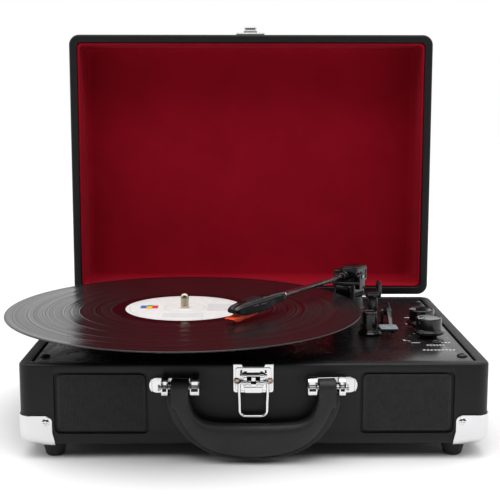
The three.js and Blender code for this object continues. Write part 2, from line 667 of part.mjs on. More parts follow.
// ---- hinges -----------------------------------------------------------------------------
const LEAF_T = 1;
function caseLeaf(x) {
  const leaf = box(40, LEAF_T, 20, [x, BACK + GAP + LEAF_T / 2, HINGE_Z - 12.2]);
  const knuckles = both.map((side) => join(
    rod(2, 2, 12, [x + side * 13.4, HINGE_Y, HINGE_Z], 'x', 16),
    box(12, 1.7, 3.4, [x + side * 13.4, BACK + GAP + 0.85, HINGE_Z - 1.9])));
  const pin = rod(0.9, 0.9, 38, [x, HINGE_Y, HINGE_Z], 'x', 12);
  return join(leaf, ...knuckles, pin);
}

// Lid pieces are made as they stand when the lid is at a right angle, from the hinge line.
const RIM_Y = RIM_GAP - (HINGE_Z - CASE_H); // from the hinge line back to the lid's rim
const LOW_Z = HINGE_Y - BACK; // from the hinge line up to the lid's low edge
function lidLeaf(x) {
  const leaf = box(40, 17, LEAF_T, [x, RIM_Y + 12.5, LOW_Z - GAP - LEAF_T / 2]);
  const bridge = box(14, RIM_Y + 6.5, LEAF_T, [x, (RIM_Y + 6.5) / 2, LOW_Z - GAP - LEAF_T / 2]);
  const knuckle = rod(2, 2, 14, [x, 0, 0], 'x', 16);
  const bore = rod(1.15, 1.15, 60, [x, 0, 0], 'x', 12);
  return cut(join(leaf, bridge, knuckle), bore);
}

function lidShell() {
  const at = [0, 0, LOW_Z + CASE_D / 2];
  const outer = frontSlab(roundedRect(CASE_W, CASE_D, CORNER_R), RIM_Y, RIM_Y + LID_D, at, 2, 3);
  const inside = roundedRect(CASE_W - 2 * LID_WALL, CASE_D - 2 * LID_WALL, 5);
  return cut(outer, frontSlab(inside, RIM_Y - 1, RIM_Y + LID_D - LID_PANEL, at));
}

function lidLining() {
  const w = CASE_W - 2 * LID_WALL - 2 * GAP;
  const h = CASE_D - 2 * LID_WALL - 2 * GAP;
  const at = [0, 0, LOW_Z + CASE_D / 2];
  const outer = frontSlab(roundedRect(w, h, 4.7), RIM_Y + 1, RIM_Y + LID_D - LID_PANEL - GAP, at);
  const inner = frontSlab(roundedRect(w - 2 * LINING, h - 2 * LINING, 5),
    RIM_Y - 20, RIM_Y + LID_D - LID_PANEL - GAP - LINING, at, 4);
  return cut(outer, inner);
}

// Hook on the lid's front edge, which is its upper edge when it is open.
function lidCatch() {
  const top = LOW_Z + CASE_D + GAP;
  const plate = box(28, 12, 1.6, [FITTINGS_X, RIM_Y + 8, top + 0.8]);
  const raised = box(14, 9, 3, [FITTINGS_X, RIM_Y + 7, top + 2.4]);
  const hook = outline([
    [0, 0], [6, 0], [6, 4.4], [4.6, 6], [0, 6.4], [-1, 5], [2.4, 3.4], [2.4, 2]]);
  const claw = slab(hook, -6, 6).rotate([90, 0, 90]).translate([FITTINGS_X, RIM_Y + 4, top + 1.6]);
  const ends = both.map((side) => rod(1.9, 1.3, 1,
    [FITTINGS_X + side * 10.6, RIM_Y + 8, top + 2], 'z', 12));
  return join(plate, raised, claw, ...ends);
}

// ---- assembly ---------------------------------------------------------------------------
const corners = [
  ['front_left', -1, -1], ['front_right', 1, -1], ['back_left', -1, 1], ['back_right', 1, 1]];
const sides = [['left', -1], ['right', 1]];

const body = assembly(player);
addPart(body, 'case_shell', caseShell(), LEATHERETTE);
addPart(body, 'bottom_panel', bottomPanel(), PLASTIC);
addPart(body, 'deck_plate', deckPlate(), PLASTIC);
for (const [name, x, y] of corners) {
  addPart(body, `foot_${name}`, foot(x * FOOT_X, y * FOOT_Y), RUBBER);
  addPart(body, `corner_guard_${name}`, cornerGuard(x, y), CHROME);
  addPart(body, `deck_screw_${name}`, deckScrew(x * DECK_SCREW_X, y * DECK_SCREW_Y), GLOSS);
}
for (const [name, side] of sides) {
  addPart(body, `grille_${name}`, grille(side), PLASTIC);
  addPart(body, `speaker_${name}`, speaker(side), RUBBER);
  addPart(body, `handle_bracket_${name}`, bracket(side), CHROME);
  addPart(body, `handle_pin_${name}`, handlePin(side), STEEL);
}
addPart(body, 'motor', motor(), STEEL);
addPart(body, 'drive_belt', belt(), RUBBER);
addPart(body, 'circuit_board', circuitBoard(), BOARD);
addPart(body, 'rear_sockets', rearSockets(), PLASTIC);
addPart(body, 'headphone_jack', headphoneJack(), PLASTIC);
addPart(body, 'control_board', controlBoard(), BOARD);
addPart(body, 'latch_plate', latchPlate(), CHROME);
addPart(body, 'tonearm_base', tonearmBase(), PLASTIC);
addPart(body, 'arm_rest', armRest(), PLASTIC);
addPart(body, 'cue_damper', damper(), PLASTIC);

const turntable = assembly(player, [SPINDLE_X, SPINDLE_Y, 0]);
addPart(turntable, 'platter', platter(), PLASTIC);
addPart(turntable, 'slip_mat', slipMat(), RUBBER);
addPart(turntable, 'spindle', spindle(), BRASS);
addPart(turntable, 'record', record(), VINYL);

const pulley = assembly(player, [MOTOR_X, MOTOR_Y, DECK_TOP]);
addPart(pulley, 'motor_pulley', motorPulley(), BRASS);

const arm = assembly(player, [PIVOT_X, PIVOT_Y, ARM_Z], [0, 0, rad(ARM_ANGLE)]);
addPart(arm, 'arm_yoke', armYoke(), PLASTIC);
addPart(arm, 'arm_axle', armAxle(), STEEL);
addPart(arm, 'arm_rear_block', rearBlock(), GLOSS);
addPart(arm, 'arm_tube', armTube(), ALUMINIUM);
addPart(arm, 'headshell', headshell(), PLASTIC);
addPart(arm, 'cartridge', cartridge(), RED);

const lever = assembly(player, [CUE_X, CUE_Y, CUE_Z]);
addPart(lever, 'cue_lever', cueLever(), GREY);
addPart(player, 'lift_bar', liftBar(), PLASTIC);

['volume_knob', 'function_knob'].forEach((name, i) => {
  addPart(assembly(player, [KNOB_X, KNOB_Y[i], DECK_TOP]), name, knob(), GLOSS);
});
['speed_switch', 'auto_stop_switch'].forEach((name, i) => {
  addPart(assembly(player, [SWITCH_X[i], SWITCH_Y, DECK_TOP]), name, slideButton(), PLASTIC);
});

addPart(assembly(player, [FITTINGS_X, PIN_Y, PIN_Z]), 'carry_handle', handle(), LEATHERETTE);
const latch = assembly(player, [FITTINGS_X, LATCH_Y, LATCH_Z]);
addPart(latch, 'latch_lever', latchLever(), CHROME);
addPart(assembly(latch, [0, 0, -BAIL_DROP]), 'latch_bail', bail(), CHROME);

for (const [name, side] of sides) {
  addPart(body, `hinge_leaf_case_${name}`, caseLeaf(side * HINGE_X), STEEL);
}
const lid = assembly(player, [0, HINGE_Y, HINGE_Z], [rad(90 - LID_OPEN), 0, 0]);
addPart(lid, 'lid_shell', lidShell(), LEATHERETTE);
addPart(lid, 'lid_lining', lidLining(), VELVET);
addPart(lid, 'lid_catch', lidCatch(), CHROME);
for (const [name, side] of sides) {
  addPart(lid, `hinge_leaf_lid_${name}`, lidLeaf(side * HINGE_X), STEEL);
}

export default player;
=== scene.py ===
from math import copysign, cos, pi, radians, sin, sqrt

import bmesh
import bpy
from mathutils import Matrix, Vector

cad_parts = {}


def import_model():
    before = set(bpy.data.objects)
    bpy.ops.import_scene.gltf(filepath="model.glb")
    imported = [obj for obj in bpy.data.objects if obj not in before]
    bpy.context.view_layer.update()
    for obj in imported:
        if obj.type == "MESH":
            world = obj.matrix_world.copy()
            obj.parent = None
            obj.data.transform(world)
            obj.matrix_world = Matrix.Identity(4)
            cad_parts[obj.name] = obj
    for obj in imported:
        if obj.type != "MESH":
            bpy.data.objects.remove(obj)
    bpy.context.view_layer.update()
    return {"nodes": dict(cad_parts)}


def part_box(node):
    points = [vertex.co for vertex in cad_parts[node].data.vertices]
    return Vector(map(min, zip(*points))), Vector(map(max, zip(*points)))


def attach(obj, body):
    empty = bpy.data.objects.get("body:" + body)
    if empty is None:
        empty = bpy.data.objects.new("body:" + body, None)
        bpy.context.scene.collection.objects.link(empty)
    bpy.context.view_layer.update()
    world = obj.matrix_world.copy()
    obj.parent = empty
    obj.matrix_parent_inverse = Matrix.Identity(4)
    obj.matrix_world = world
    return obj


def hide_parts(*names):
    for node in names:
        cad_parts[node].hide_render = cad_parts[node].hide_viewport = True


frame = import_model()
nodes = frame["nodes"]
MM = 0.001  # every builder below takes millimetres


# ---- places and sizes, from the frame ----------------------------------------------------
def low(node):
    """The low corner of a CAD node's box, in millimetres."""
    return Vector(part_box(node)[0]) / MM


def high(node):
    return Vector(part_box(node)[1]) / MM


def middle(node):
    return (low(node) + high(node)) / 2


CASE_LOW, CASE_HIGH = low("case_shell"), high("case_shell")
FRONT, BACK = CASE_LOW.y, CASE_HIGH.y
CASE_W, CASE_D, CASE_H = CASE_HIGH - CASE_LOW
CASE_R = 10.0  # upright corners of the case and the lid
WALL = 9.5
DECK_TOP = high("deck_plate").z
DISC = middle("record")
RECORD_TOP = high("record").z
RECORD_R = (high("record").x - low("record").x) / 2
KNUCKLE_R = 2.0
HINGE_Y = high("hinge_leaf_case_left").y - KNUCKLE_R
HINGE_Z = high("hinge_leaf_case_left").z - KNUCKLE_R
LID_LEAN = radians(-1.0)  # the open lid stands a little past upright
PIVOT = Vector((middle("tonearm_base").x, middle("tonearm_base").y, 96.0))  # the arm's axes cross here
ARM_TURN = radians(-124.0)
PARK_TURN = radians(-78.0)
PIN = middle("handle_pin_left")
FITTINGS_X = middle("carry_handle").x  # the handle and the latch share this centre
LATCH_PLATE_Z = 52.1  # middle of the latch plate
LATCH_Y, LATCH_Z = FRONT - 4.8, 55.5  # the lever's pivot
BAIL_WIRE = 1.15
BAIL_Z = high("latch_bail").z - BAIL_WIRE
INLET_X, PHONO_X = 120, 84  # on the rear wall
RAIL_R = 24.0  # lift rail, from the arm's pivot
CUE = Vector((116.5, -4.0, 76.0))  # the cue lever's cross pin


# ---- node materials ----------------------------------------------------------------------
class Shader:
    """A Principled material with a few short ways to add procedural detail."""

    def __init__(self, name, color, rough, metal=0.0, **sockets):
        self.mat = bpy.data.materials.new(name)
        self.mat.use_nodes = True
        self.tree = self.mat.node_tree
        self.shader = self.tree.nodes["Principled BSDF"]
        self.shader.inputs["Base Color"].default_value = (*color, 1)
        self.shader.inputs["Roughness"].default_value = rough
        self.shader.inputs["Metallic"].default_value = metal
        for socket, value in sockets.items():
            self.shader.inputs[socket.replace("_", " ")].default_value = value
        self.place = self.node("ShaderNodeTexCoord").outputs["Object"]
        self.bump_out = None

    def node(self, kind, **settings):
        made = self.tree.nodes.new(kind)
        for key, value in settings.items():
            setattr(made, key, value)
        return made

    def link(self, source, target):
        self.tree.links.new(source, target)

    def noise(self, scale, detail=3.0, rough=0.55, stretch=(1, 1, 1), distortion=0.0):
        mapping = self.node("ShaderNodeMapping")
        mapping.inputs["Scale"].default_value = stretch
        self.link(self.place, mapping.inputs["Vector"])
        made = self.node("ShaderNodeTexNoise")
        made.inputs["Scale"].default_value = scale
        made.inputs["Detail"].default_value = detail
        made.inputs["Roughness"].default_value = rough
        made.inputs["Distortion"].default_value = distortion
        self.link(mapping.outputs["Vector"], made.inputs["Vector"])
        return made.outputs["Fac"]

    def cells(self, scale, feature="DISTANCE_TO_EDGE", warp=0.0):
        made = self.node("ShaderNodeTexVoronoi", feature=feature)
        made.inputs["Scale"].default_value = scale
        vector = self.place
        if warp:
            wobble = self.node("ShaderNodeTexNoise")
            wobble.inputs["Scale"].default_value = scale * 0.6
            self.link(self.place, wobble.inputs["Vector"])
            shift = self.node("ShaderNodeVectorMath", operation="MULTIPLY_ADD")
            shift.inputs[1].default_value = (warp, warp, warp)
            self.link(wobble.outputs["Color"], shift.inputs[0])
            self.link(self.place, shift.inputs[2])
            vector = shift.outputs["Vector"]
        self.link(vector, made.inputs["Vector"])
        return made.outputs["Distance"]

    def math(self, operation, a, b=None):
        made = self.node("ShaderNodeMath", operation=operation)
        for i, value in enumerate((a, b)):
            if value is None:
                continue
            if isinstance(value, (int, float)):
                made.inputs[i].default_value = value
            else:
                self.link(value, made.inputs[i])
        return made.outputs[0]

    def ramp(self, fac, *stops):
        made = self.node("ShaderNodeValToRGB")
        ramp = made.color_ramp
        while len(ramp.elements) < len(stops):
            ramp.elements.new(0.5)
        for element, (at, color) in zip(ramp.elements, stops):
            element.position = at
            element.color = (*color, 1) if len(color) == 3 else color
        self.link(fac, made.inputs["Fac"])
        return made.outputs["Color"]

    def span(self, fac, from_low, from_high, to_low, to_high):
        made = self.node("ShaderNodeMapRange")
        for i, value in enumerate((from_low, from_high, to_low, to_high)):
            made.inputs[i + 1].default_value = value
        self.link(fac, made.inputs[0])
        return made.outputs[0]

    def mix(self, fac, a, b):
        made = self.node("ShaderNodeMix", data_type="RGBA")
        for socket, value in ((made.inputs[0], fac), (made.inputs[6], a), (made.inputs[7], b)):
            if isinstance(value, tuple):
                socket.default_value = (*value, 1)
            elif isinstance(value, (int, float)):
                socket.default_value = value
            else:
                self.link(value, socket)
        return made.outputs[2]

    def color(self, source):
        self.link(source, self.shader.inputs["Base Color"])

    def rough(self, fac, at_low, at_high):
        self.link(self.span(fac, 0.3, 0.7, at_low, at_high), self.shader.inputs["Roughness"])

    def bump(self, height, depth_mm, strength=1.0):
        made = self.node("ShaderNodeBump")
        made.inputs["Strength"].default_value = strength
        made.inputs["Distance"].default_value = depth_mm * MM
        self.link(height, made.inputs["Height"])
        if self.bump_out:
            self.link(self.bump_out, made.inputs["Normal"])
        self.bump_out = made.outputs["Normal"]
        self.link(self.bump_out, self.shader.inputs["Normal"])

    def radius(self, centre):
        """Distance in millimetres from the vertical line through the centre."""
        shifted = self.node("ShaderNodeVectorMath", operation="SUBTRACT")
        shifted.inputs[1].default_value = (centre.x * MM, centre.y * MM, 0)
        self.link(self.place, shifted.inputs[0])
        flat = self.node("ShaderNodeVectorMath", operation="MULTIPLY")
        flat.inputs[1].default_value = (1 / MM, 1 / MM, 0)
        self.link(shifted.outputs["Vector"], flat.inputs[0])
        length = self.node("ShaderNodeVectorMath", operation="LENGTH")
        self.link(flat.outputs["Vector"], length.inputs[0])
        return length.outputs["Value"], flat.outputs["Vector"]


def leatherette():
    """Black covering with small pores and an even grain."""
    s = Shader("leatherette", (0.008, 0.008, 0.009), 0.5, Specular_IOR_Level=0.3)
    pores = s.cells(900, warp=0.0009)
    grain = s.noise(520, 4, 0.6)
    s.color(s.mix(s.span(pores, 0, 0.5, 0, 1), (0.003, 0.003, 0.0035), s.ramp(
        s.noise(14, 3), (0.3, (0.0065, 0.0065, 0.0072)), (0.7, (0.010, 0.010, 0.0112)))))
    s.rough(grain, 0.42, 0.58)
    s.bump(s.span(pores, 0, 0.35, 0, 1), 0.09, 0.55)
    s.bump(s.noise(170, 3), 0.12, 0.35)
    return s.mat


def handle_leather():
    """Softer black covering with larger pores and creases."""
    s = Shader("handle_leather", (0.03, 0.03, 0.032), 0.5, Specular_IOR_Level=0.4)
    pores = s.cells(620, warp=0.0012)
    s.color(s.mix(s.span(pores, 0, 0.4, 0, 1), (0.006, 0.006, 0.007), s.ramp(
        s.noise(22, 4), (0.3, (0.011, 0.011, 0.012)), (0.7, (0.018, 0.018, 0.019)))))
    s.rough(s.noise(60, 4), 0.44, 0.62)
    s.bump(s.span(pores, 0, 0.35, 0, 1), 0.10, 0.5)
    s.bump(s.noise(120, 4, 0.6, distortion=0.6), 0.22, 0.4)
    s.bump(s.noise(42, 3, 0.5, (1, 1, 0.6), 0.8), 0.9, 0.35)
    return s.mat


def moulded(name, color, rough, grain_mm=0.03, spread=0.1):
    """Moulded plastic with a fine even texture and slight handling marks."""
    s = Shader(name, color, rough)
    darker = tuple(c * 0.75 for c in color)
    s.color(s.ramp(s.noise(30, 4), (0.3, darker), (0.7, color)))
    s.rough(s.noise(90, 5, 0.65), rough - spread / 2, rough + spread / 2)
    s.bump(s.noise(2200, 2, 0.5), grain_mm, 0.4)
    return s.mat


def metal(name, color, rough, brushed=(1, 1, 1), scratch_mm=0.004):
    """Plated or plain metal, with roughness that varies along its polishing marks."""
    s = Shader(name, color, rough, 1.0)
    darker = tuple(c * 0.86 for c in color)
    s.color(s.ramp(s.noise(24, 4), (0.25, darker), (0.7, color)))
    s.rough(s.noise(600, 4, 0.6, brushed), rough - 0.03, rough + 0.03)
    s.bump(s.noise(900, 3, 0.6, brushed), scratch_mm, 0.3)
    return s.mat


def flock():
    """Short red pile with a painted sheen: a random mottle of lighter and darker red stands in for light
    catching the leaning fibres.
    """
    s = Shader("red_flock", (0.26, 0.004, 0.014), 0.92, Specular_IOR_Level=0.12,
               Sheen_Weight=0.16, Sheen_Roughness=0.35)
    s.shader.inputs["Sheen Tint"].default_value = (1.0, 0.08, 0.14, 1)
    sheen_mottle = s.noise(24, 5, 0.62, distortion=0.4)
    fibre = s.noise(1500, 3, 0.7)
    # painted sheen: patches of lighter and darker red for how light catches the leaning pile
    base = s.ramp(sheen_mottle, (0.30, (0.28, 0.0015, 0.010)), (0.70, (0.35, 0.003, 0.016)))
    s.color(s.mix(s.span(fibre, 0.35, 0.65, 0, 0.45), base, (0.19, 0.001, 0.008)))
    s.bump(fibre, 0.35, 0.5)
    s.bump(s.noise(420, 4, 0.7), 0.4, 0.3)
    return s.mat


TRACK_BANDS = (146.5, 131.0, 118.5, 102.0, 88.5, 75.0)  # outer edges of the cut sides, mm
RUN_OUT = 60.5


def vinyl():
    """Cut sides between smooth bands, with grooves that stretch the highlights round the disc."""
    s = Shader("vinyl", (0.008, 0.007, 0.008), 0.16, Specular_IOR_Level=0.5, Anisotropic=0.8)
    r, _ = s.radius(DISC)
    tangent = s.node("ShaderNodeTangent", direction_type="RADIAL", axis="Z")
    s.link(tangent.outputs["Tangent"], s.shader.inputs["Tangent"])
    groove = s.math("SINE", s.math("MULTIPLY", r, 2 * pi / 0.42))
    cut_side = s.math("GREATER_THAN", r, RUN_OUT)
    for edge in TRACK_BANDS:
        gap = s.math("COMPARE", r, edge)
        gap.node.inputs[2].default_value = 0.55
        cut_side = s.math("MULTIPLY", cut_side, s.math("SUBTRACT", 1.0, gap))
    stretch = s.node("ShaderNodeTexNoise", noise_dimensions="1D")
    stretch.inputs["Scale"].default_value = 0.55
    stretch.inputs["Detail"].default_value = 5
    s.link(r, stretch.inputs["W"])
    s.color(s.mix(cut_side, (0.004, 0.003, 0.004), s.ramp(
        stretch.outputs["Fac"], (0.35, (0.006, 0.005, 0.006)), (0.65, (0.014, 0.011, 0.012)))))
    s.link(s.mix(cut_side, (0.06, 0.06, 0.06), s.ramp(
        stretch.outputs["Fac"], (0.38, (0.13, 0.13, 0.13)), (0.62, (0.27, 0.27, 0.27)))),
        s.shader.inputs["Roughness"])
    s.bump(s.math("MULTIPLY", groove, cut_side), 0.010, 0.35)
    s.bump(s.noise(16, 2), 0.35, 0.12)
    return s.mat


def label_paper():
    """White paper with rings, a coloured motif of plain blocks and ruled grey lines."""
    s = Shader("label_paper", (0.82, 0.81, 0.79), 0.5)
    r, flat = s.radius(DISC)
    part = s.node("ShaderNodeSeparateXYZ")
    s.link(flat, part.inputs["Vector"])
    x, y = part.outputs["X"], part.outputs["Y"]

    def inside(value, a, b):
        return s.math("MULTIPLY", s.math("GREATER_THAN", value, a), s.math("LESS_THAN", value, b))

    def patch(x0, x1, y0, y1):
        return s.math("MULTIPLY", inside(x, x0, x1), inside(y, y0, y1))

    paper = s.ramp(s.noise(160, 5), (0.3, (0.66, 0.65, 0.64)), (0.7, (0.74, 0.73, 0.72)))
    for fac, color in (
        (inside(r, 46.6, 47.1), (0.45, 0.45, 0.47)),
        (inside(r, 16.6, 17.6), (0.55, 0.54, 0.53)),
        (patch(-38, -33, -3, 9), (0.05, 0.12, 0.42)),
        (patch(-33, -28, -6, 6), (0.80, 0.46, 0.04)),
        (patch(-28, -23, -3, 9), (0.60, 0.03, 0.04)),
        (patch(-33, -28, 6, 11), (0.05, 0.30, 0.12)),
        (s.math("MULTIPLY", patch(19, 41, -12, 16), s.math(
            "GREATER_THAN", s.math("FRACT", s.math("MULTIPLY", y, 0.27)), 0.72)), (0.34, 0.34, 0.36)),
        (s.math("MULTIPLY", patch(-17, 17, -38, -22), s.math(
            "GREATER_THAN", s.math("FRACT", s.math("MULTIPLY", y, 0.27)), 0.72)), (0.40, 0.40, 0.42)),
    ):
        paper = s.mix(fac, paper, color)
    s.color(paper)
    s.rough(s.noise(200, 4), 0.42, 0.58)
    s.bump(s.noise(900, 4), 0.02, 0.4)
    return s.mat


def speaker_cloth():
    """Black cloth woven from threads under a millimetre apart."""
    s = Shader("speaker_cloth", (0.012, 0.012, 0.013), 0.72)
    part = s.node("ShaderNodeSeparateXYZ")
    s.link(s.place, part.inputs["Vector"])
    threads = s.math("MULTIPLY",
                     s.math("SINE", s.math("MULTIPLY", part.outputs["X"], 2 * pi / 0.0009)),
                     s.math("SINE", s.math("MULTIPLY", part.outputs["Z"], 2 * pi / 0.0009)))
    s.color(s.mix(s.span(threads, -1, 1, 0, 1), (0.004, 0.004, 0.005), (0.011, 0.011, 0.0125)))
    s.rough(s.noise(300, 4), 0.62, 0.8)
    s.bump(threads, 0.12, 0.5)
    return s.mat


def circuit_green():
    """Green board with a pattern of paler tracks."""
    s = Shader("circuit_green", (0.02, 0.10, 0.035), 0.4)
    lines = s.cells(160, "F1")
    s.color(s.mix(s.span(lines, 0.28, 0.3, 0, 1), (0.035, 0.16, 0.05), (0.012, 0.07, 0.024)))
    s.rough(s.noise(120, 4), 0.32, 0.5)
    s.bump(lines, 0.04, 0.4)
    return s.mat


LOOKS = {
    "leatherette": leatherette(),
    "handle": handle_leather(),
    "deck": moulded("deck_plastic", (0.007, 0.006, 0.007), 0.28, 0.025, 0.08),
    "satin": moulded("satin_black", (0.008, 0.008, 0.009), 0.36, 0.02, 0.1),
    "gloss": moulded("gloss_black", (0.005, 0.005, 0.006), 0.14, 0.004, 0.06),
    "rubber": moulded("rubber", (0.010, 0.010, 0.011), 0.8, 0.09, 0.1),
    "chrome": metal("chrome", (0.74, 0.74, 0.75), 0.07),
    "steel": metal("steel", (0.52, 0.52, 0.54), 0.34, scratch_mm=0.01),
    "aluminium": metal("aluminium", (0.92, 0.92, 0.93), 0.2, (0.4, 0.4, 1)),
    "brass": metal("nickel_brass", (0.66, 0.57, 0.42), 0.25),
    "rivet": metal("rivet", (0.50, 0.38, 0.30), 0.3),
    "screw": moulded("black_screw", (0.012, 0.012, 0.013), 0.22, 0.01, 0.08),
    "flock": flock(),
    "vinyl": vinyl(),
    "label": label_paper(),
    "cloth": speaker_cloth(),
    "red": moulded("orange_red", (0.78, 0.075, 0.018), 0.3, 0.01, 0.08),
    "grey": moulded("grey_paddle", (0.26, 0.29, 0.31), 0.12, 0.01, 0.06),
    "board": circuit_green(),
    "print": moulded("white_print", (0.75, 0.75, 0.75), 0.5, 0.01, 0.08),
}


# ---- mesh builders -----------------------------------------------------------------------
def make(name, verts, faces, at=None):
    """A new mesh object from millimetre vertices, placed by an optional matrix."""
    mesh = bpy.data.meshes.new(name)
    bm = bmesh.new()
    made = [bm.verts.new(v) for v in verts]
    for face in faces:
        bm.faces.new([made[i] for i in face])
    bmesh.ops.remove_doubles(bm, verts=bm.verts, dist=1e-5)
    bmesh.ops.recalc_face_normals(bm, faces=bm.faces)
    bm.to_mesh(mesh)
    bm.free()
    if at is not None:
        mesh.transform(at)
    thing = bpy.data.objects.new(name, mesh)
    bpy.context.collection.objects.link(thing)
    return thing


def evaluated(thing):
    """The object's mesh with its modifiers applied."""
    graph = bpy.context.evaluated_depsgraph_get()
    mesh = bpy.data.meshes.new_from_object(thing.evaluated_get(graph))
    thing.modifiers.clear()
    thing.data = mesh
    return thing


def bevel(thing, width, segments=3, angle=30):
    made = thing.modifiers.new("bevel", "BEVEL")
    made.width = width
    made.segments = segments
    made.limit_method = "ANGLE"
    made.angle_limit = radians(angle)
    return evaluated(thing)


def cut(thing, *tools, operation="DIFFERENCE"):
    for tool in tools:
        made = thing.modifiers.new("cut", "BOOLEAN")
        made.operation = operation
        made.solver = "EXACT"
        made.object = tool
    evaluated(thing)
    for tool in tools:
        bpy.data.objects.remove(tool)
    return thing


def fuse(first, *others):
    """Puts several objects' meshes into the first one as separate shells."""
    bm = bmesh.new()
    bm.from_mesh(first.data)
    for other in others:
        bm.from_mesh(other.data)
        bpy.data.objects.remove(other)
    bm.to_mesh(first.data)
    bm.free()
    return first


def arc(cx, cy, r, start, end, steps):
    """Points on an arc between two angles in degrees."""
    turns = [radians(start + (end - start) * i / steps) for i in range(steps + 1)]
    return [(cx + r * cos(a), cy + r * sin(a)) for a in turns]


def rounded_rect(w, h, r, steps=10):
    out = []
    for cx, cy, start in ((1, -1, -90), (1, 1, 0), (-1, 1, 90), (-1, -1, 180)):
        out += arc(cx * (w / 2 - r), cy * (h / 2 - r), r, start, start + 90, steps)
    return out


def fillet(points, radius, steps=4, closed=True):
    """Rounds each corner of an outline; a point may carry its own radius as a third value."""
    out = []
    count = len(points)
    for i, point in enumerate(points):
        own = point[2] if len(point) > 2 else radius
        here = Vector(point[:2])
        if own <= 0 or (not closed and i in (0, count - 1)):
            out.append(tuple(here))
            continue
        before = Vector(points[i - 1][:2]) - here
        after = Vector(points[(i + 1) % count][:2]) - here
        reach = min(own, before.length * 0.48, after.length * 0.48)
        a, b = here + before.normalized() * reach, here + after.normalized() * reach
        for k in range(steps + 1):
            t = k / steps
            out.append(tuple(a * (1 - t) ** 2 + here * 2 * t * (1 - t) + b * t * t))
    return out


def prism(name, outline, z0, z1, at=None, edge=0.0, segments=3):
    """A flat outline raised from z0 to z1, with bevelled edges."""
    n = len(outline)
    verts = [(x, y, z0) for x, y in outline] + [(x, y, z1) for x, y in outline]
    faces = [tuple(range(n - 1, -1, -1)), tuple(range(n, 2 * n))]
    faces += [(i, (i + 1) % n, n + (i + 1) % n, n + i) for i in range(n)]
    thing = make(name, verts, faces)
    if edge:
        bevel(thing, edge, segments, 50)
    if at is not None:
        thing.data.transform(at)
    return thing


def slab(name, points, radius, steps, z0, z1, at=None, edge=0.0, segments=3):
    """A prism whose outline has rounded corners."""
    return prism(name, fillet(points, radius, steps), z0, z1, at, edge, segments)


def taper(low_half, y0, high_half, y1):
    """A four-sided outline from its half widths at two heights."""
    return [(-low_half, y0), (low_half, y0), (high_half, y1), (-high_half, y1)]


def both(half):
    """A symmetric outline from its right half, listed from the bottom up."""
    return half + [(-p[0], *p[1:]) for p in reversed(half)]


def block(name, w, d, h, centre=(0, 0, 0), edge=0.5, at=None):
    """A box with rounded edges."""
    x, y, z = centre
    outline = [(x - w / 2, y - d / 2), (x + w / 2, y - d / 2), (x + w / 2, y + d / 2), (x - w / 2, y + d / 2)]
    return prism(name, outline, z - h / 2, z + h / 2, at, edge)


def lathe(name, profile, at=None, steps=64):
    """A closed solid turned about Z. The profile runs from the low end to the high end."""
    verts, faces, rings = [], [], []
    for r, z in profile:
        if r < 1e-6:
            rings.append([len(verts)] * steps)
            verts.append((0, 0, z))
        else:
            rings.append([len(verts) + k for k in range(steps)])
            verts += [(r * cos(2 * pi * k / steps), r * sin(2 * pi * k / steps), z)
                      for k in range(steps)]
    loops = list(zip(rings, rings[1:]))
    if profile[0][0] > 1e-6:
        loops.append((rings[-1], rings[0]))
    for a, b in loops:
        for k in range(steps):
            n = (k + 1) % steps
            corners = []
            for i in (a[k], a[n], b[n], b[k]):
                if i not in corners:
                    corners.append(i)
            if len(corners) > 2:
                faces.append(tuple(corners))
    return make(name, verts, faces, at)


def spun(name, profile, radius, steps, at=None, sides=64):
    """A turned piece whose profile has rounded corners and starts and ends on the axis."""
    return lathe(name, fillet(profile, radius, steps, closed=False), at, sides)


def bore(radius, start, end, at=None, steps=24):
    """A round tool for cutting a hole along Z."""
    return lathe("bore", [(0, start), (radius, start), (radius, end), (0, end)], at, steps)


def loft(name, rings, at=None, around=False):
    """A skin through rings with equal numbers of points, closed at its ends or back to its start."""
    n = len(rings[0])
    verts = [v for ring in rings for v in ring]
    faces = []
    for i in range(len(rings) - 1):
        for k in range(n):
            m = (k + 1) % n
            faces.append((i * n + k, i * n + m, (i + 1) * n + m, (i + 1) * n + k))
    if around:
        last = (len(rings) - 1) * n
        faces += [(last + k, last + (k + 1) % n, (k + 1) % n, k) for k in range(n)]
    else:
        faces += [tuple(range(n - 1, -1, -1)), tuple(range((len(rings) - 1) * n, len(rings) * n))]
    return make(name, verts, faces, at)


def rod(name, points, radius, at=None, sides=20):
    """A round bar through points, with its section turned as little as possible on the way."""
    path = [Vector(p) for p in points]
    rings = []
    up = None
    count = len(path)
    for i, here in enumerate(path):
        along = (path[min(i + 1, count - 1)] - path[max(i - 1, 0)]).normalized()
        if up is None:
            up = along.orthogonal().normalized()
        up = (up - along * up.dot(along)).normalized()
        side = along.cross(up)
        rings.append([here + (up * cos(a) + side * sin(a)) * radius
                      for a in (2 * pi * k / sides for k in range(sides))])
    return loft(name, rings, at)


def smooth_path(points, per_span):
    """A Catmull-Rom curve through the points."""
    p = [Vector(q) for q in points]
    last = len(p) - 1
    out = []
    for i in range(last):
        a, b, c, d = p[max(i - 1, 0)], p[i], p[i + 1], p[min(i + 2, last)]
        for k in range(per_span):
            t = k / per_span
            out.append(0.5 * (2 * b + (c - a) * t + (2 * a - 5 * b + 4 * c - d) * t * t
                              + (3 * b - a - 3 * c + d) * t ** 3))
    return out + [p[-1]]


def move(x, y, z):
    return Matrix.Translation((x, y, z))


def rotated(degrees, axis):
    return Matrix.Rotation(radians(degrees), 4, axis)


def stand(x, y, z, turn=0.0):
    """Puts a piece built about the origin at a place, turned about Z."""
    return move(x, y, z) @ Matrix.Rotation(turn, 4, "Z")


STAND_UP = rotated(90, "X")  # a prism's outline becomes XZ, its height -Y
FACE_BACK = rotated(-90, "X")  # a piece that was built flat faces the back
ALONG_X = rotated(90, "Y")  # a turned piece lies along X
SIDEWAYS = rotated(-90, "Z") @ STAND_UP  # an outline's X runs to the front, its height along X


def front(x, y, z):
    """Puts a piece that was built flat so that its top faces the front."""
    return move(x, y, z) @ STAND_UP


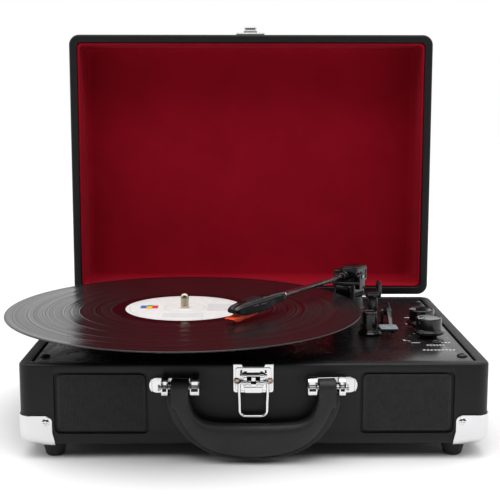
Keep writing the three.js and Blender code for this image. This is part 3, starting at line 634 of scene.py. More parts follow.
def rear(x, y, z):
    return move(x, y, z) @ FACE_BACK


def finish(thing, name, look, body, stands_for=(), sharp=38, at=None):
    """Places and scales to metres, shades smooth up to an angle, and hands the piece to its body."""
    thing.name = name
    mesh = thing.data
    mesh.name = name
    if at is not None:
        mesh.transform(at)
    mesh.transform(Matrix.Scale(MM, 4))
    bm = bmesh.new()
    bm.from_mesh(mesh)
    bmesh.ops.recalc_face_normals(bm, faces=bm.faces)
    for face in bm.faces:
        face.smooth = True
    for edge in bm.edges:
        edge.smooth = len(edge.link_faces) == 2 and edge.calc_face_angle(0) < radians(sharp)
    bm.to_mesh(mesh)
    bm.free()
    mesh.materials.clear()
    mesh.materials.append(LOOKS[look])
    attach(thing, body)
    if stands_for:
        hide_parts(*stands_for)
    return thing


def dress(node, look):
    """Gives a CAD node that stays its material."""
    mesh = nodes[node].data
    mesh.materials.clear()
    mesh.materials.append(LOOKS[look])


# ---- case --------------------------------------------------------------------------------
GRILLE_X, GRILLE_Z = abs(middle("grille_left").x), middle("grille_left").z
POCKET_W, POCKET_H = 71.5, 48.2  # recess in the front wall for each grille
CORNER_E = 9.0  # edge radius under each low corner
SIDE_E = 3.0  # edge radius along the sides
EDGE_START, EDGE_BLEND = 7.0, 20.0  # from the corner, where one edge radius turns into the other


def boundary():
    """Points round the case: place, outward direction, and the low edge's radius there."""
    out = []
    w, d = CASE_W / 2, CASE_D / 2
    along = (60, 34, 27.3, 21, 15)

    def point(x, y, nx, ny):
        far = max(w - abs(x), d - abs(y))
        t = min(1.0, max(0.0, (far - EDGE_START) / EDGE_BLEND))
        out.append((x, y, nx, ny, CORNER_E + (SIDE_E - CORNER_E) * t * t * (3 - 2 * t)))

    for sx, sy in ((1, -1), (1, 1), (-1, 1), (-1, -1)):
        first = sx * sy < 0  # the corner is reached along X
        before = [(sx * (w - c), sy * d, 0, sy) if first else (sx * w, sy * (d - c), sx, 0) for c in along]
        after = [(sx * w, sy * (d - c), sx, 0) if first else (sx * (w - c), sy * d, 0,
                                                              sy) for c in reversed(along)]
        start = {(1, -1): -90, (1, 1): 0, (-1, 1): 90, (-1, -1): 180}[(sx, sy)]
        round_part = []
        for i in range(15):
            a = radians(start + 90 * i / 14)
            nx, ny = cos(a), sin(a)
            round_part.append((sx * (w - CASE_R) + CASE_R * nx, sy * (d - CASE_R) + CASE_R * ny, nx, ny))
        for place in before + round_part + after:
            point(*place)
    return out


BOUNDARY = boundary()
PER_CORNER = len(BOUNDARY) // 4


def wall_ring(z, inset, points=None):
    """A level ring round the case, drawn in from its walls."""
    return [(x - nx * inset, y - ny * inset, z) for x, y, nx, ny, _ in points or BOUNDARY]


def edge_ring(turn, proud=0.0, points=None):
    """The ring at one angle of the rounded low edge, from 0 underneath to a right angle at the side."""
    out = []
    for x, y, nx, ny, e in points or BOUNDARY:
        inset = e - (e + proud) * sin(turn)
        out.append((x - nx * inset, y - ny * inset, e - (e + proud) * cos(turn)))
    return out


def case_walls():
    """Wrapped walls with two speaker pockets in front and the socket openings behind."""
    turns = (0, 0.26, 0.52, 0.79, 1.05, 1.31, 1.5708)
    rings = [wall_ring(0, WALL)] + [edge_ring(a) for a in turns] + [wall_ring(z, 0) for z in (11, 14)]
    rings += [wall_ring(CASE_H - 2.2 + 2.2 * sin(a), 2.2 - 2.2 * cos(a)) for a in (0, 0.4, 0.8, 1.2, 1.57)]
    rings += [wall_ring(CASE_H - 0.9 + 0.9 * cos(a), WALL - 0.9 + 0.9 * sin(a)) for a in (0, 0.5, 1.0, 1.57)]
    walls = loft("walls", rings, around=True)
    tools = []
    for side in (-1, 1):
        at = front(side * GRILLE_X, FRONT, GRILLE_Z)
        tools.append(prism("pocket", rounded_rect(POCKET_W, POCKET_H, 4.5), -2.4, 20, at))
        tools.append(bore(20, -20, 10, at, 48))
    sockets = middle("rear_sockets")
    tools.append(bore(4.3, -20, 20, front(INLET_X, BACK, sockets.z), 32))
    tools.append(block("slot", 27, 30, 13, (PHONO_X, BACK, sockets.z), 0))
    cut(walls, *tools)
    soften_pockets(walls)
    finish(walls, "case_walls", "leatherette", "case", ["case_shell"])


def soften_pockets(walls):
    """Rounds the wrapped edge of each speaker pocket."""
    bm = bmesh.new()
    bm.from_mesh(walls.data)
    reach_x, reach_z = POCKET_W / 2 + 1, POCKET_H / 2 + 1

    def on_rim(v):
        return (abs(v.co.y - FRONT) < 0.01 and abs(v.co.z - GRILLE_Z) < reach_z
                and abs(abs(v.co.x) - GRILLE_X) < reach_x)

    edges = [e for e in bm.edges if e.is_manifold and e.calc_face_angle(0) > 1.0
             and all(on_rim(v) for v in e.verts)]
    bmesh.ops.bevel(bm, geom=edges, offset=0.8, segments=4, affect="EDGES", profile=0.5, clamp_overlap=True)
    bm.to_mesh(walls.data)
    bm.free()


def deck():
    """Top plate with holes for the spindle, motor, jack and switches."""
    w, d = CASE_W - 2 * WALL - 2.6, CASE_D - 2 * WALL - 2.6
    plate = prism("deck", rounded_rect(w, d, 3, 6), DECK_TOP - 3, DECK_TOP)
    tools = [bore(r, -9, 9, move(x, y, DECK_TOP), 40)
             for x, y, r in ((DISC.x, DISC.y, 5.5), (middle("motor").x, middle("motor").y, 5.0),
                             (middle("headphone_jack").x, middle("headphone_jack").y, 3.3))]
    for switch in ("speed_switch", "auto_stop_switch"):
        at = middle(switch)
        tools.append(prism("slot", rounded_rect(15, 5, 1.2, 4), DECK_TOP - 9, DECK_TOP + 9,
                           stand(at.x, at.y, 0)))
    cut(plate, *tools)
    bevel(plate, 0.5, 3, 50)
    finish(plate, "deck_top", "deck", "case", ["deck_plate"])


def recessed_cross(name, at, head=4.1, height=1.9, look="screw", body="case", stands_for=()):
    """A domed cross-head screw whose head sits at the matrix's origin, facing +Z."""
    dome = [(0, -0.3), (head, -0.3), (head, 0.15)]
    dome += [(head * cos(a), 0.15 + (height - 0.15) * sin(a)) for a in (0.35, 0.7, 1.05, 1.35)]
    screw = lathe(name, dome + [(0, height)], None, 40)
    arm = 0.55 * head
    tools = [block("cross", 2 * arm, 0.28 * head, height * 2, (0, 0, height * 1.45), 0),
             block("cross", 0.28 * head, 2 * arm, height * 2, (0, 0, height * 1.45), 0)]
    cut(screw, *tools)
    finish(screw, name, look, body, stands_for, sharp=30, at=at)


def feet_and_screws():
    """A tapered foot under each corner and a screw in each corner of the deck."""
    for name in ("front_left", "front_right", "back_left", "back_right"):
        at = middle("foot_" + name)
        base = low("foot_" + name).z
        profile = fillet([(0, base + 2.5, 0), (2.6, base + 2.5), (3.0, base), (6.0, base), (7.1, base + 1.2),
                          (9.8, -0.4), (0, -0.4, 0)], 0.7, 4, closed=False)
        finish(lathe("foot", profile, stand(at.x, at.y, 0), 56), "foot_rubber_" + name, "rubber", "case",
               ["foot_" + name])
        at = middle("deck_screw_" + name)
        recessed_cross("deck_screw_head_" + name, stand(at.x, at.y, DECK_TOP + 0.3, 0.5 + at.x),
                       stands_for=["deck_screw_" + name])


def guard_points(corner):
    """The part of the boundary that one guard covers, with its legs' free ends left open."""
    points = BOUNDARY[corner * PER_CORNER:(corner + 1) * PER_CORNER]
    return points[2:-2]


def shortened(ring, points, reach):
    """Pulls the legs' ends in to the given distance from the case's corner."""
    out = []
    for (x, y, z), (px, py, nx, ny, _) in zip(ring, points):
        if ny == 0 and nx and CASE_D / 2 - abs(py) > reach:
            y = copysign(CASE_D / 2 - reach, py)
        if nx == 0 and ny and CASE_W / 2 - abs(px) > reach:
            x = copysign(CASE_W / 2 - reach, px)
        out.append((x, y, z))
    return out


def corner_guards():
    """Pressed plates that wrap the low corners: a rounded underside, two legs and a flange."""
    skin, reach, nick = 1.3, 25.6, 4.5  # plate proud of the case, leg length, rounding of its end
    for corner, (name, side_x, side_y) in enumerate((("front_right", 1, -1), ("back_right", 1, 1),
                                                     ("back_left", -1, 1), ("front_left", -1, -1))):
        points = guard_points(corner)
        top = high("corner_guard_" + name).z
        rings = [edge_ring(a, skin, points) for a in (0, 0.2, 0.4, 0.6, 0.8, 1.0, 1.2, 1.4, 1.5708)]
        for i in range(13):
            z = 10 + (top - 10) * i / 12
            over = max(0.0, z - (top - nick))
            short = nick - sqrt(max(0.0, nick ** 2 - over ** 2))
            rings.append(shortened(wall_ring(z, -skin, points), points, reach - short))
        n = len(points)
        verts = [v for ring in rings for v in ring]
        faces = [(i * n + k, i * n + k + 1, (i + 1) * n + k + 1, (i + 1) * n + k)
                 for i in range(len(rings) - 1) for k in range(n - 1)]
        plate = make("guard", verts, faces)
        thick = plate.modifiers.new("thick", "SOLIDIFY")
        thick.thickness = 0.9
        thick.offset = -1
        evaluated(plate)
        bevel(plate, 0.3, 3, 60)
        flat, inset = 18.6, 8.2
        x, y = side_x * (CASE_W / 2 - inset - flat / 2), side_y * (CASE_D / 2 - inset - flat / 2)
        base = prism("guard_floor", rounded_rect(flat, flat, 2.5, 8), -1.3, -0.35, stand(x, y, 0), 0.3)
        foot_at = middle("foot_" + name)
        cut(base, bore(10.6, -5, 5, stand(foot_at.x, foot_at.y, 0), 40))
        fuse(plate, base)
        finish(plate, "corner_plate_" + name, "chrome", "case", ["corner_guard_" + name], sharp=45)
        face = FRONT - skin if side_y < 0 else BACK + skin
        turned = front(side_x * (CASE_W / 2 - 20.7), face, 18.0)
        if side_y > 0:
            turned = turned @ rotated(180, "X")
        recessed_cross("corner_screw_" + name, turned, 2.9, 1.3, "chrome")


def grilles():
    """Ribbed speaker cloth in a thin frame, set into its pocket."""
    for name, side in (("left", -1), ("right", 1)):
        w, h, corner = POCKET_W - 4.3, POCKET_H - 4.2, 4.2
        pad = prism("pad", rounded_rect(w, h, corner, 8), 0, 1.4, None, 0.6, 4)
        ribs = []
        count = 61
        for i in range(count):
            x = -w / 2 + 2.6 + (w - 5.2) * i / (count - 1)
            short = max(0.0, abs(x) - (w / 2 - corner))
            half = h / 2 - 1.6 - (corner - sqrt(max(0.0, corner ** 2 - short ** 2)))
            ribs.append(rod("rib", [(x, -half, 1.32), (x, half, 1.32)], 0.34, None, 8))
        fuse(pad, *ribs)
        finish(pad, "speaker_grille_" + name, "cloth", "case", ["grille_" + name], sharp=30,
               at=front(side * GRILLE_X, FRONT + 1.9, GRILLE_Z))


# ---- handle ------------------------------------------------------------------------------
def resample(points, count):
    """Points evenly spaced along a polyline."""
    lengths = [0.0]
    for a, b in zip(points, points[1:]):
        lengths.append(lengths[-1] + (b - a).length)
    out = []
    k = 0
    for i in range(count):
        want = lengths[-1] * i / (count - 1)
        while k < len(points) - 2 and lengths[k + 1] < want:
            k += 1
        span = max(lengths[k + 1] - lengths[k], 1e-9)
        out.append(points[k].lerp(points[k + 1], (want - lengths[k]) / span))
    return out


GRIP_STEPS = 96
STRAP_X = 54.95  # middle of each strap, from the handle's centre


def mirrored(half):
    """Evenly spaced points of an outline given as its left half, from the top to the middle."""
    left = smooth_path([(x, z, 0) for x, z in half], 12)
    return resample(left + [Vector((-p.x, p.y, 0)) for p in reversed(left[:-1])], GRIP_STEPS + 1)


def handle():
    """Padded grip with a flat sewn flange outside it, hung on a strap over each pin."""
    at = move(FITTINGS_X, PIN.y, PIN.z)
    seam = mirrored([(-61.6, -4), (-61.2, -9), (-60.0, -14), (-57.2, -20.6), (-52.1, -30.6), (-44.7, -39.8),
                     (-35, -46.9), (-22, -51.6), (-8, -53.7), (0, -54.0)])
    inner = mirrored([(-48.3, -4), (-47.7, -8), (-46.4, -13), (-44.1, -18.8), (-41.4, -22.4), (-37.2, -25.0),
                      (-31.0, -26.6), (-20, -27.3), (-8, -27.4), (0, -27.4)])
    edge = mirrored([(-65.4, -6.4), (-65.2, -9), (-64.6, -13), (-62.3, -21.0), (-57.9, -29.4), (-51.2, -38.0),
                     (-43, -45.0), (-32.6, -51.0), (-22.1, -54.0), (-8, -55.6), (0, -55.8)])
    rings = []
    for i, (o, n) in enumerate(zip(seam, inner)):
        run = min(i, GRIP_STEPS - i) / GRIP_STEPS
        full = min(1.0, run / 0.16)
        plump = 6.2 + 0.5 * full
        power, ease = 8 - 5.2 * full, 0.3 + 0.16 * full
        section = [(k / 24, plump * max(0.0, 1 - abs(k / 12 - 1) ** power) ** ease) for k in range(25)]
        front_side = [(p.x, -h, p.y) for p, h in ((o.lerp(n, t), h) for t, h in section)]
        back_side = [(p.x, h, p.y) for p, h in reversed([(o.lerp(n, t), h) for t, h in section][1:-1])]
        rings.append(front_side + back_side)
    grip = loft("grip", rings, at)
    rings = []
    for i, (o, n) in enumerate(zip(edge, seam)):
        close = min(i, GRIP_STEPS - i)
        grow = 1.0 if close > 2 else sin(pi / 2 * (close + 0.5) / 3.2) ** 0.6
        width = (n - o).length
        inward = (n - o) / max(width, 0.01)
        wide = width + 1.6
        o = n - inward * (width * grow)
        half = [(0.0, 0.0), (0.25, 0.75), (0.7, 1.15), (1.2, 1.3), (2.0, 1.25), (wide * 0.6, 1.05),
                (wide, 1.0)]
        half = [(min(d, wide) * (grow if d else 1), h) for d, h in half]
        ring = [o + inward * d for d, _ in half]
        rings.append([(p.x, -h, p.y) for p, (_, h) in zip(ring, half)]
                     + [(p.x, h, p.y) for p, (_, h) in list(zip(ring, half))[:0:-1]])
    flange = loft("flange", rings, at)
    straps = []
    for side in (-1, 1):
        x = side * STRAP_X
        loop = [(x, y, z) for y, z in arc(0, 0, 5.0, 180, 0, 15)]
        path = [(x, -5.0, -14), (x, -5.1, -8), (x, -5.0, -3)] + loop
        path += [(x, -y, z) for x, y, z in reversed(path[:3])]
        straps.append(strap(path, 13.3, 2.4, at))
    fuse(grip, flange, *straps)
    finish(grip, "grip", "handle", "handle", ["carry_handle"], sharp=60)


def strap(points, width, thick, at):
    """A flat band whose width runs along X, following points in the YZ plane."""
    rings = []
    p = [Vector(q) for q in points]
    for i, here in enumerate(p):
        along = (p[min(i + 1, len(p) - 1)] - p[max(i - 1, 0)]).normalized()
        out = Vector((0, along.z, -along.y))
        section = rounded_rect(width, thick, thick * 0.42, 3)
        rings.append([here + Vector((1, 0, 0)) * u + out * v for u, v in section])
    return loft("strap", rings, at)


def brackets():
    """Each bracket: a back plate with a half-round end, two lugs with rolled barrels, and a pin."""
    for name, side in (("left", -1), ("right", 1)):
        x0, lugs = FITTINGS_X, ((66.0, 5.0), (43.8, 6.9))  # each lug's distance from the middle and width
        outline = arc(72.4, 0, 6.0, -90, 90, 14) + [(41, 5.2, 1.2), (41, -5.6, 1.2)]
        outline = fillet([(q[0], q[1], q[2] if len(q) > 2 else 0) for q in outline], 0, 4)
        outline = [(side * x, z) for x, z in outline]
        plate = prism("plate", outline, 0.3, 1.7, None, 0.35)
        dome = prism("dome", [(side * x, z) for x, z in arc(70.2, 0, 8.0, -42, 42, 12)], 1.4, 2.6, None,
                     0.9, 4)
        plate.data.transform(front(x0, FRONT, PIN.z))
        dome.data.transform(front(x0, FRONT, PIN.z))
        parts = [dome]
        for x, w in lugs:
            side_view = [(0.6, -5.6, 0.5), (8.6, -6.4), (13.4, -5.2), (14.0, 0.6), (11.6, 6.8), (6.0, 8.4),
                         (0.6, 7.4, 0.5)]
            lug = slab("lug", side_view, 3.8, 7, -w / 2, w / 2, None, 0.7, 4)
            lug.data.transform(move(side * x + x0, FRONT, PIN.z) @ SIDEWAYS)
            window = block("window", w - 1.9, 30, 7.2, (side * x + x0, FRONT - 23.0, PIN.z + 1.9), 0.4)
            cut(lug, window)
            parts.append(lug)
        for lug in parts[1:]:
            cut(lug, bore(1.9, -40, 40, move(side * 56 + x0, PIN.y, PIN.z) @ ALONG_X, 24))
        fuse(plate, *parts)
        finish(plate, "handle_mount_" + name, "chrome", "case", ["handle_bracket_" + name])
        ends = [(0, -15.4, 0), (2.3, -15.4, 0.6), (2.3, -14.3, 0.3), (1.6, -14.3, 0.2), (1.6, 14.3, 0.2),
                (0, 14.3, 0)]
        if side > 0:
            ends = [(r, -z, k) for r, z, k in reversed(ends)]
        pin = spun("pin", ends, 0.4, 3, move(side * 55.7 + x0, PIN.y, PIN.z) @ ALONG_X, 28)
        finish(pin, "pin_" + name, "steel", "case", ["handle_pin_" + name])


# ---- latch -------------------------------------------------------------------------------
def latch_base():
    """Riveted plate with a window and two cheeks for the lever's pin."""
    x0 = FITTINGS_X
    top = 10.8  # the plate's own top edge
    outline = [(-15.2, -10.8, 2.4), (15.2, -10.8, 2.4), (15.2, top + 0.6, 0.8), (8.6, top + 0.6, 1.2),
               (8.2, top - 1.4, 1.4), (-8.2, top - 1.4, 1.4), (-8.6, top + 0.6, 1.2), (-15.2, top + 0.6, 0.8)]
    plate = slab("plate", outline, 1, 6, 0.3, 1.9, None, 0.5, 4)
    raised = slab("rim", taper(13.4, -9.2, 13.4, 8.8), 1.8, 6, 1.6, 2.5, None, 0.6, 4)
    for thing in (plate, raised):
        cut(thing, slab("window", taper(7.0, -6.4, 7.4, 4.7), 1.6, 5, -1, 6))
    fuse(plate, raised)
    plate.data.transform(front(x0, FRONT, LATCH_PLATE_Z))
    cheeks = []
    for side in (-1, 1):
        ear = slab("ear", [(1.6, -3.4), (6.6, -3.0), (7.6, 0.2), (6.4, 3.0), (1.6, 3.4)], 1.8, 6, -0.75,
                   0.75, None, 0.3)
        ear.data.transform(move(x0 + side * 9.2, FRONT, LATCH_Z) @ SIDEWAYS)
        cheeks.append(ear)
    fuse(plate, *cheeks)
    finish(plate, "latch_base", "chrome", "case", ["latch_plate"])
    for side, name in ((-1, "left"), (1, "right")):
        profile = [(0, -0.2), (2.5, -0.2), (2.5, 0.4), (2.2, 0.9), (1.5, 1.2), (1.1, 0.8), (0, 0.6)]
        rivet = spun("rivet", [(r, z) for r, z in profile], 0.25, 3,
                     front(x0 + side * 12.4, FRONT - 2.4, LATCH_PLATE_Z - 1.5), 32)
        finish(rivet, "latch_rivet_" + name, "rivet", "case")


def draw_lever():
    """Two rails with rolled barrels round the pins, and a lip below."""
    lever_at = move(FITTINGS_X, LATCH_Y, LATCH_Z)

    def across(x, z, r):
        return bore(r, -20, 20, move(x, 0, z) @ ALONG_X, 20)

    drop = LATCH_Z - BAIL_Z
    lever = slab("lever", both([(7.4, -drop - 3.4), (7.4, 1.4), (4.9, 1.4), (4.9, -drop + 1.4),
                                (1.6, -drop + 1.4), (1.6, -1.2)]), 0.5, 4, -0.7, 0.7, STAND_UP, 0.4, 3)
    cut(lever, across(0, -drop, 1.35), across(0, 0, 1.1))
    lip = slab("lip", taper(7.2, -8.6, 6.6, -13.4), 1.4, 5, -0.6, 1.2, STAND_UP, 0.5, 3)
    pin = rod("pin", [(-10.2, 0, 0), (10.2, 0, 0)], 1.0)
    rolls = []
    for a, b in ((-7.5, -5.2), (-3.6, -2.0), (2.0, 3.6), (5.2, 7.5)):
        roll = rod("roll", [(a, 0, -drop), (b, 0, -drop)], 2.2, None, 24)
        rolls.append(cut(roll, across(0, -drop, 1.35)))
    rolls += [rod("knuckle", [(s * 5.0, 0, 0), (s * 7.5, 0, 0)], 1.9, None, 24) for s in (-1, 1)]
    rolls.append(lip)
    fuse(lever, pin, *rolls)
    finish(lever, "draw_lever", "chrome", "latch", ["latch_lever"], at=lever_at)


def wire_bail():
    """The wire loop that hangs from the lever."""
    w, drop, corner = 10.7, 26.0, 4.4
    half = [(-2.2, 0), (-8.6, 0)] + arc(-w + 1.6, -1.6, 1.6, 90, 180, 6) + [(-w, -8), (-w + 0.3, -16)]
    half += arc(-w + corner + 0.4, -drop + corner, corner, 180, 270, 10)
    points = half + [(-x, z) for x, z in reversed(half)]
    wire = rod("bail", [(x, 0, z) for x, z in points], BAIL_WIRE, move(FITTINGS_X, LATCH_Y, BAIL_Z), 20)
    finish(wire, "wire_bail", "chrome", "bail", ["latch_bail"], sharp=60)


# ---- turntable ---------------------------------------------------------------------------
def turntable():
    """Ribbed platter, ringed mat, centre pin and the record on them."""
    at = stand(DISC.x, DISC.y, 0)
    rim_low, rim_top, r = 70.0, 79.6, 92.0
    profile = [(0, DECK_TOP - 8, 0), (3.4, DECK_TOP - 8, 0.4), (3.4, DECK_TOP + 2.6, 0.3),
               (40, DECK_TOP + 2.6, 0.6), (40, rim_top - 7, 1), (r - 5, rim_top - 7, 1),
               (r - 4, rim_low, 0.6), (r, rim_low, 0.8)]
    for z in (72.2, 74.6):
        profile += [(r, z, 0.2), (r - 0.9, z + 0.4, 0.2), (r - 0.9, z + 1.0, 0.2), (r, z + 1.4, 0.2)]
    profile += [(r, rim_top - 0.4, 0.9), (r - 3.4, rim_top - 0.2, 0.3), (r - 4, rim_top - 0.9, 0.3),
                (3.8, rim_top - 0.9, 0.2), (3.8, rim_top - 10, 0.2), (0, rim_top - 10, 0)]
    finish(spun("platter", profile, 0.5, 3, at, 144), "platter_disc", "satin", "turntable", ["platter"])
    top = RECORD_TOP - 1.5
    mat = [(4, rim_top - 0.6, 0.1), (88, rim_top - 0.6, 0.2), (88, top, 0.6)]
    for k in range(9):
        ring = 82 - 5.5 * k
        mat += [(ring, top, 0.1), (ring - 0.5, top - 0.5, 0.1), (ring - 1.3, top - 0.5, 0.1),
                (ring - 1.8, top, 0.1)]
    mat += [(4, top, 0.3)]
    finish(lathe("mat", fillet(mat, 0.2, 2), at, 128), "ribbed_mat", "rubber", "turntable", ["slip_mat"])
    tip = high("spindle").z
    pin = [(0, rim_top - 9.7, 0), (3.5, rim_top - 9.7, 0), (3.5, RECORD_TOP + 1, 0),
           (3.6, RECORD_TOP + 1.6, 0.2), (3.5, RECORD_TOP + 2.2, 0), (3.5, tip - 3.4, 1.5),
           (2.6, tip - 0.8, 1.2), (0, tip, 0)]
    finish(spun("pin", pin, 0.3, 5, at, 40), "centre_pin", "brass", "turntable", ["spindle"])
    record(at)


def record(at):
    """Record: bead round the edge, cut sides between smooth bands, deeper run-out, raised label seat."""
    thick = 1.2
    under, top, r = RECORD_TOP - thick, RECORD_TOP, RECORD_R
    face = [(r, top - 0.35, 0.3), (r - 0.5, top, 0.4), (r - 3.4, top, 0.4), (r - 4.6, top - 0.22, 0.3)]
    for edge in TRACK_BANDS[1:]:
        face += [(edge + 0.7, top - 0.22, 0.1), (edge + 0.4, top - 0.14, 0.1),
                 (edge - 0.4, top - 0.14, 0.1), (edge - 0.7, top - 0.22, 0.1)]
    face += [(RUN_OUT + 0.5, top - 0.22, 0.2), (RUN_OUT, top - 0.30, 0.2), (57.2, top - 0.30, 0.1),
             (56.9, top - 0.22, 0.05), (56.5, top - 0.22, 0.05), (56.2, top - 0.30, 0.1),
             (53.0, top - 0.30, 0.3), (52.0, top - 0.12, 0.3), (3.7, top - 0.12, 0)]
    back = [(x, under + (top - z)) for x, z, *_ in reversed(face)]
    outline = fillet([(x, z, k) for x, z, k in face] + [(x, z, 0.1) for x, z in back], 0.1, 2)
    disc = lathe("record", outline[::-1], at, 256)
    finish(disc, "record_disc", "vinyl", "turntable", ["record"], sharp=50)
    for name, z in (("record_label", top - 0.115), ("record_label_under", under + 0.115)):
        lift = 0.1 if z > under + 0.6 else -0.1
        seat = [(3.75, z, 0), (50.4, z, 0), (50.4, z + lift, 0.1), (35.6, z + lift, 0.1),
                (35.3, z + lift * 0.3, 0.1), (34.7, z + lift * 0.3, 0.1), (34.4, z + lift, 0.1),
                (3.75, z + lift, 0)]
        seat = seat if lift > 0 else seat[::-1]
        finish(lathe(name, fillet(seat, 0.1, 2), at, 160), name, "label", "turntable", sharp=50)


# ---- tonearm -----------------------------------------------------------------------------
ARM = Matrix.Translation(PIVOT) @ Matrix.Rotation(ARM_TURN, 4, "Z")
SIDE_LOW, SIDE_HIGH = -5.0, 11.5
SHELL_START = 120  # from the pivot, along the arm
SHELL = ARM @ move(SHELL_START, 0, 0) @ rotated(-5.5, "Z")  # the headshell is set at an angle


def tonearm_mount():
    """Stepped mount on the deck, with the cradle that carries the arm on a cross axle."""
    at = stand(PIVOT.x, PIVOT.y, 0)
    z = DECK_TOP
    profile = [(0, z - 9, 0), (3.9, z - 9, 0.4), (3.9, z + 0.3, 0.2), (19, z + 0.3, 0.4),
               (19, z + 2.0, 0.9), (15.6, z + 3.4, 1), (15.4, z + 5.0, 0.6), (14.4, z + 5.6, 0.6),
               (13.6, z + 14.6, 0.8), (3.5, z + 14.6, 0.3), (3.5, z + 6, 0), (0, z + 6, 0)]
    finish(spun("mount", profile, 0.5, 4, at, 72), "tonearm_mount", "satin", "case", ["tonearm_base"])
    yoke = prism("hub", rounded_rect(27, 21, 5, 8), DECK_TOP + 15 - PIVOT.z, -8.4, move(0, 1.5, 0), 1.0, 4)
    step = prism("step", rounded_rect(19, 15, 4, 8), -8.8, -7.6, move(-1, 1.5, 0), 0.4, 3)
    stub = rod("stub", [(0, 0, DECK_TOP + 6.4 - PIVOT.z), (0, 0, -12)], 2.9, None, 28)
    parts = [step, stub]
    centre = SIDE_HIGH + 2.0
    outline = fillet(both([(5.2, -12, 0.4), (5.2, 1), (2.6, 3)]), 1.4, 5)
    cheek = prism("cheek", outline, -1.4, 1.4, None, 0.45, 3)
    cheek.data.transform(move(0, centre, 0) @ STAND_UP)
    boss = rod("boss", [(0, centre + 1.0, 0), (0, centre + 2.1, 0)], 2.4, None, 28)
    inner = block("inner", 10, 7.8, 16.4, (0, SIDE_LOW - 4.6, -3.8), 0.9)
    cap = block("cap", 7.4, 5.2, 0.8, (0, SIDE_LOW - 4.6, 4.5), 0.3)
    knuckle = rod("knuckle", [(0, SIDE_LOW - 8.2, 0), (0, SIDE_LOW - 9.2, 0)], 2.2, None, 28)
    parts += [cheek, boss, inner, cap, knuckle]
    fuse(yoke, *parts)
    finish(yoke, "arm_cradle", "gloss", "yoke", ["arm_yoke"], at=ARM)
    axle = rod("axle", [(0, SIDE_LOW - 9.4, 0), (0, SIDE_HIGH + 4.3, 0)], 1.2, ARM, 20)
    finish(axle, "cradle_axle", "steel", "yoke", ["arm_axle"])


def rear_block():
    """Counterweight block with a top plate and inset, a recessed side panel and the tube's collar."""
    w, mid = SIDE_HIGH - SIDE_LOW, (SIDE_HIGH + SIDE_LOW) / 2
    body = prism("body", rounded_rect(22, w, 2, 6), -6.4, 7.4, move(-6, mid, 0), 0.9, 4)
    cut(body, block("recess", 12, 1.2, 8.6, (-8.2, SIDE_HIGH, 0.6), 0.4),
        block("recess", 12, 1.2, 8.6, (-8.2, SIDE_LOW, 0.6), 0.4))
    tab = block("tab", 2.6, 1.0, 5.0, (-6, SIDE_HIGH - 0.35, 0.6), 0.4)
    lid = prism("lid", rounded_rect(21.6, w - 0.6, 2, 6), 7.2, 8.5, move(-6, mid, 0), 0.55, 4)
    inset = prism("inset", rounded_rect(15.6, w - 6, 1.4, 6), 8.2, 8.8, move(-6, mid, 0), 0.25, 3)
    collar = lathe("collar", fillet([(2.7, 4.4, 0.2), (4.5, 4.4, 0.3), (4.5, 8.4, 0.4), (4.1, 8.8, 0.2),
                                     (4.1, 9.8, 0.2), (4.4, 10.2, 0.2), (4.1, 14.4, 0.6), (2.7, 14.8, 0.2)],
                                     0.3, 3), ALONG_X, 48)
    fuse(body, tab, lid, inset, collar)
    finish(body, "counterweight", "gloss", "tonearm", ["arm_rear_block"], at=ARM)


def arm_pipe():
    """Thin tube with a raised ring near the headshell."""
    tube = [(0, 5.2, 0), (2.45, 5.2, 0.2), (2.45, 115.6, 0), (2.6, 115.8, 0.1), (2.6, 117.2, 0.1),
            (2.45, 117.4, 0), (2.45, 127.8, 0.2), (0, 127.8, 0)]
    finish(spun("tube", tube, 0.2, 3, ARM @ ALONG_X, 40),
           "arm_pipe", "aluminium", "tonearm", ["arm_tube"])


def headshell():
    """Faceted cover with ribs on its crest and side vents."""
    stations = [  # x, half width, underside, shoulder height, crest height
        (-2, 3.7, -3.4, 1.5, 3.4), (4, 4.0, -3.9, 1.9, 3.6), (12, 4.5, -4.7, 2.1, 3.8),
        (19, 5.5, -5.8, 2.3, 3.9), (26, 6.9, -7.0, 2.3, 3.9),
        (36, 7.1, -7.1, 1.9, 3.5), (46, 7.1, -7.1, 1.4, 3.0), (54, 7.0, -7.0, 0.8, 2.3),
        (60, 6.3, -5.8, 0.0, 1.2), (64.5, 4.8, -4.3, -1.3, -0.8)]
    rings = []
    for x, half, under, shoulder, crest in stations:
        section = [(half - 0.8, under), (half, under + 0.8), (half, shoulder - 0.6), (half - 0.5, shoulder),
                   (half * 0.74, shoulder + 0.1), (half * 0.6, crest - 0.5), (half * 0.5, crest),
                   (half * 0.16, crest)]
        rings.append([(x, y, z) for y, z in section + [(0, crest - 0.5)] + both(section)[len(section):]])
    shell = loft("shell", rings)
    cut(shell, block("hollow", 34, 11, 8, (42, 0, -6.6), 0.6))
    bevel(shell, 0.25, 2, 40)
    ribs = [block("rib", 0.9, 9.4, 0.8, (x, 0, 3.6 - (x - 30) * 0.055), 0.25) for x in range(31, 47, 3)]
    vents = [block("vent", 7.5, 0.8, 2.2, (x, s * 7.0, -1.4), 0.3) for x in (33, 43) for s in (-1, 1)]
    socket = bore(2.8, -6, 12, ALONG_X, 24)
    cut(shell, socket)
    fuse(shell, *ribs, *vents)
    finish(shell, "headshell_cover", "gloss", "tonearm", ["headshell"], sharp=28, at=SHELL)


